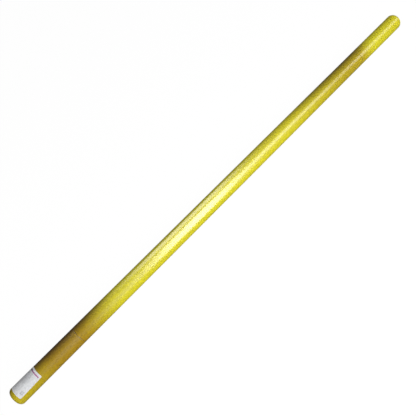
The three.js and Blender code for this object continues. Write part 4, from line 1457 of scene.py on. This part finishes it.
ribs = run_tree("spring_mouth_ribs", rib_mesh, around, AROUND, {
    "Count": RIB_COUNT, "First Angle": math.radians(45), "Axis Height": axis_height,
    "Material": finish["spring_steel"],
})
finished(ribs, "swivel_head", "spring_steel", *[f"mouth_rib_{i + 1}" for i in range(RIB_COUNT)])

# %% [markdown]
# ## The furled windsock
# The cloth cone is laid flat, folded to a strip and rolled round the ribs. The roll is one long sheet on
# a spiral, so a Geometry Nodes tree lays a grid along it. Every turn lies just outside the one before,
# the edges are uneven, and the strap draws the roll in at its middle.

# %% The rolling tree
rolling = bpy.data.node_groups.new("rolled_cloth", "GeometryNodeTree")
ROLL = {}
for name, kind, default in (
    ("Start", "NodeSocketFloat", 0.0), ("End", "NodeSocketFloat", 0.1),
    ("Inner Radius", "NodeSocketFloat", 0.014), ("Outer Radius", "NodeSocketFloat", 0.021),
    ("Turns", "NodeSocketInt", 28), ("Columns per Turn", "NodeSocketInt", 72),
    ("Rows", "NodeSocketInt", 16),
    ("Ripple", "NodeSocketFloat", 0.001), ("Pinch", "NodeSocketFloat", 0.001),
    ("Uneven Edge", "NodeSocketFloat", 0.0015), ("Seed", "NodeSocketFloat", 3.0),
    ("Axis Height", "NodeSocketFloat", 0.0), ("Material", "NodeSocketMaterial", None),
):
    ROLL[name] = tree_input(rolling, name, kind, default)
rolling.interface.new_socket(name="Cloth", in_out="OUTPUT", socket_type="NodeSocketGeometry")
print("rolling tree's inputs:", list(ROLL))

# %% [markdown]
# The radius grows with the angle. The ripple's noise is read on a circle, so it runs on smoothly from
# turn to turn, and the pinch is a smooth dip at the middle. Both count most on the outer turns, so the
# inner ones stay round and no turn crosses the next. A last noise pushes each turn's ends in.

# %% How the cloth is laid on its spiral
given = rolling.nodes.new("NodeGroupInput")
made = rolling.nodes.new("NodeGroupOutput")
columns = times_plus(rolling, given.outputs["Turns"], given.outputs["Columns per Turn"], 1.0)
grid = add(rolling, "GeometryNodeMeshGrid", {
    "Size X": 1.0, "Size Y": 1.0, "Vertices X": given.outputs["Rows"], "Vertices Y": columns,
})
flat = add(rolling, "ShaderNodeSeparateXYZ", {0: add(rolling, "GeometryNodeInputPosition").outputs[0]})
along_roll = plus(rolling, flat.outputs["X"], 0.5)
round_roll = plus(rolling, flat.outputs["Y"], 0.5)
turns_so_far = times(rolling, round_roll, given.outputs["Turns"])
angle = times(rolling, turns_so_far, 2 * math.pi)
room = minus(rolling, given.outputs["Outer Radius"], given.outputs["Inner Radius"])
radius = times_plus(rolling, room, round_roll, given.outputs["Inner Radius"])
ripple_place = add(rolling, "ShaderNodeCombineXYZ", {
    0: maths(rolling, "COSINE", angle), 1: maths(rolling, "SINE", angle),
    2: times_plus(rolling, along_roll, 1.4, given.outputs["Seed"]),
})
ripple = add(rolling, "ShaderNodeTexNoise", {
    "Vector": ripple_place.outputs[0], "Scale": 2.4, "Detail": 2.0,
})
ripple = times(rolling, minus(rolling, ripple.outputs["Fac"], 0.5), given.outputs["Ripple"])
from_middle = maths(rolling, "ABSOLUTE", flat.outputs["X"])
pinch = add(rolling, "ShaderNodeMapRange", {
    "Value": from_middle, "From Min": 0.06, "From Max": 0.36, "To Min": 1.0, "To Max": 0.0,
}, interpolation_type="SMOOTHSTEP")
drawn = times(rolling, pinch.outputs["Result"], given.outputs["Pinch"])
change = times(rolling, minus(rolling, ripple, drawn), round_roll)
radius = plus(rolling, radius, change)
edge_place = times_plus(rolling, turns_so_far, 1.9, given.outputs["Seed"])
edge_noise = add(rolling, "ShaderNodeTexNoise", {
    "W": edge_place, "Scale": 1.0, "Detail": 2.0,
}, noise_dimensions="1D")
edge_weight = maths(rolling, "POWER", times(rolling, from_middle, 2.0), 3.0)
uneven = times(rolling, edge_noise.outputs["Fac"], given.outputs["Uneven Edge"])
side = times(rolling, maths(rolling, "SIGN", flat.outputs["X"]), edge_weight)
length = minus(rolling, given.outputs["End"], given.outputs["Start"])
station = times_plus(rolling, length, along_roll, given.outputs["Start"])
station = minus(rolling, station, times(rolling, side, uneven))
spot = add(rolling, "ShaderNodeCombineXYZ", {
    0: station,
    1: times(rolling, radius, maths(rolling, "COSINE", angle)),
    2: times_plus(rolling, radius, maths(rolling, "SINE", angle), given.outputs["Axis Height"]),
})
both_radii = plus(rolling, given.outputs["Inner Radius"], given.outputs["Outer Radius"])
mean_radius = times(rolling, both_radii, 0.5)
cloth_u = times(rolling, angle, mean_radius)
cloth_v = times(rolling, along_roll, length)
cloth_uv = add(rolling, "ShaderNodeCombineXYZ", {0: cloth_u, 1: cloth_v})
stored = add(rolling, "GeometryNodeStoreNamedAttribute", {
    "Geometry": grid.outputs["Mesh"], "Name": "sheet", "Value": cloth_uv.outputs[0],
}, data_type="FLOAT2", domain="CORNER")
rolled = add(rolling, "GeometryNodeSetPosition", {
    "Geometry": stored.outputs[0], "Position": spot.outputs[0],
})
hand_over(rolling, rolled.outputs[0], given, made)
print("rolling tree:", len(rolling.nodes), "nodes")

# %% [markdown]
# The roll keeps to the design's length. Its outer turns may swell by half a millimetre. The print gives
# the widest place and the bore of the head cover, which it has to clear.

# %% The roll of ripstop
SOCK_INNER = 14 * MM
SOCK_SWELL = 0.5 * MM
ROLL_TURNS = 28
sock_start, sock_end, sock_radius = span("furled_windsock")
sock = run_tree("ripstop_windsock", bpy.data.meshes.new("roll"), rolling, ROLL, {
    "Start": sock_start, "End": sock_end, "Inner Radius": SOCK_INNER,
    "Outer Radius": sock_radius + SOCK_SWELL, "Turns": ROLL_TURNS, "Columns per Turn": 72, "Rows": 18,
    "Ripple": 2.2 * MM, "Pinch": 1.0 * MM, "Uneven Edge": 3.5 * MM, "Seed": 3.0,
    "Axis Height": axis_height, "Material": orange_ripstop,
})
finished(sock, "swivel_head", "orange_ripstop", "furled_windsock")
widest = max(math.hypot(v.co.y, v.co.z - axis_height) for v in sock.data.vertices)
print("roll is", round(2 * widest, 4), "across in a bore of", round(2 * (tube_radius - TUBE_WALL), 4))

# %% [markdown]
# ## The strap
# A black woven strap holds the roll. It goes once round and lies over its own end, where a touch
# fastener grips it. It is a narrow closed band with rounded edges and thin ends. It stays round for most
# of a turn and rises by its own thickness just before it meets its start.

# %% Strap round the roll
STRAP_THICKNESS = 0.8 * MM
STRAP_OVERLAP = math.radians(75)
STRAP_STEPS = 130
STRAP_EDGE = 0.3 * MM
STRAP_START = math.radians(60)
STRAP_BUILD = 1.25 * MM
RISE_BEFORE = 0.45
RISE_LENGTH = 0.4
OVERLAP_ROOM = 1.04
END_STEPS = 3
END_SHARE = 0.35

strap_start, strap_end, strap_radius = span("sock_strap")
strap_inner = strap_radius - STRAP_BUILD
whole_turn = 2 * math.pi + STRAP_OVERLAP
section = [
    (strap_start + STRAP_EDGE, 0), (strap_end - STRAP_EDGE, 0), (strap_end, STRAP_EDGE),
    (strap_end, STRAP_THICKNESS - STRAP_EDGE), (strap_end - STRAP_EDGE, STRAP_THICKNESS),
    (strap_start + STRAP_EDGE, STRAP_THICKNESS), (strap_start, STRAP_THICKNESS - STRAP_EDGE),
    (strap_start, STRAP_EDGE),
]
vertices, uvs = [], []
for step in range(STRAP_STEPS + 1):
    travelled = whole_turn * step / STRAP_STEPS
    angle = STRAP_START + travelled
    over = min(1.0, max(0.0, (travelled - 2 * math.pi + RISE_BEFORE) / RISE_LENGTH))
    lift = STRAP_THICKNESS * OVERLAP_ROOM * over * over * (3 - 2 * over)
    end_share = min(1.0, min(step, STRAP_STEPS - step) / END_STEPS + END_SHARE)
    for place, height in section:
        reach = strap_inner + lift + height * end_share
        vertices.append((place, reach * math.cos(angle), axis_height + reach * math.sin(angle)))
        uvs.append((travelled * strap_inner, place - strap_start))
ring = len(section)
faces = [
    (s * ring + i, s * ring + (i + 1) % ring, (s + 1) * ring + (i + 1) % ring, (s + 1) * ring + i)
    for s in range(STRAP_STEPS) for i in range(ring)
]
faces += [tuple(reversed(range(ring))), tuple(STRAP_STEPS * ring + i for i in range(ring))]
mesh = bpy.data.meshes.new("strap")
mesh.from_pydata(vertices, [], faces)
layer = mesh.uv_layers.new(name="sheet")
for loop in mesh.loops:
    layer.data[loop.index].uv = uvs[loop.vertex_index]
mesh.materials.append(black_webbing)
strap = settled(linked("source", mesh), "webbing_strap")
finished(strap, "swivel_head", "black_webbing", "sock_strap")

# %% [markdown]
# Laid flat, the windsock's cloth is a cone 0.60 m long, so its cut area is half the sum of its two
# circumferences times that length.

# %% [markdown]
# ## Finishes for the pieces that keep the design's own shape
# The lock parts and the spike's nut sit deep inside and are already the right shape, so they keep the
# design's meshes and only take a finish.

# %% Finishes on the design's meshes
KEPT = {
    "black_nylon": ("mid_foot_plug", "top_foot_plug"),
    "white_acetal": ("mid_expander", "top_expander"),
    "black_rubber": ("mast_bumper",),
    "zinc_steel": ("spike_washer", "spike_nut", "mid_lock_stud", "top_lock_stud"),
    "brass": ("mid_lock_cone", "top_lock_cone"),
}
for name, nodes in KEPT.items():
    for node in nodes:
        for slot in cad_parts[node].material_slots:
            slot.material = finish[name]
        print(node, "takes", name)
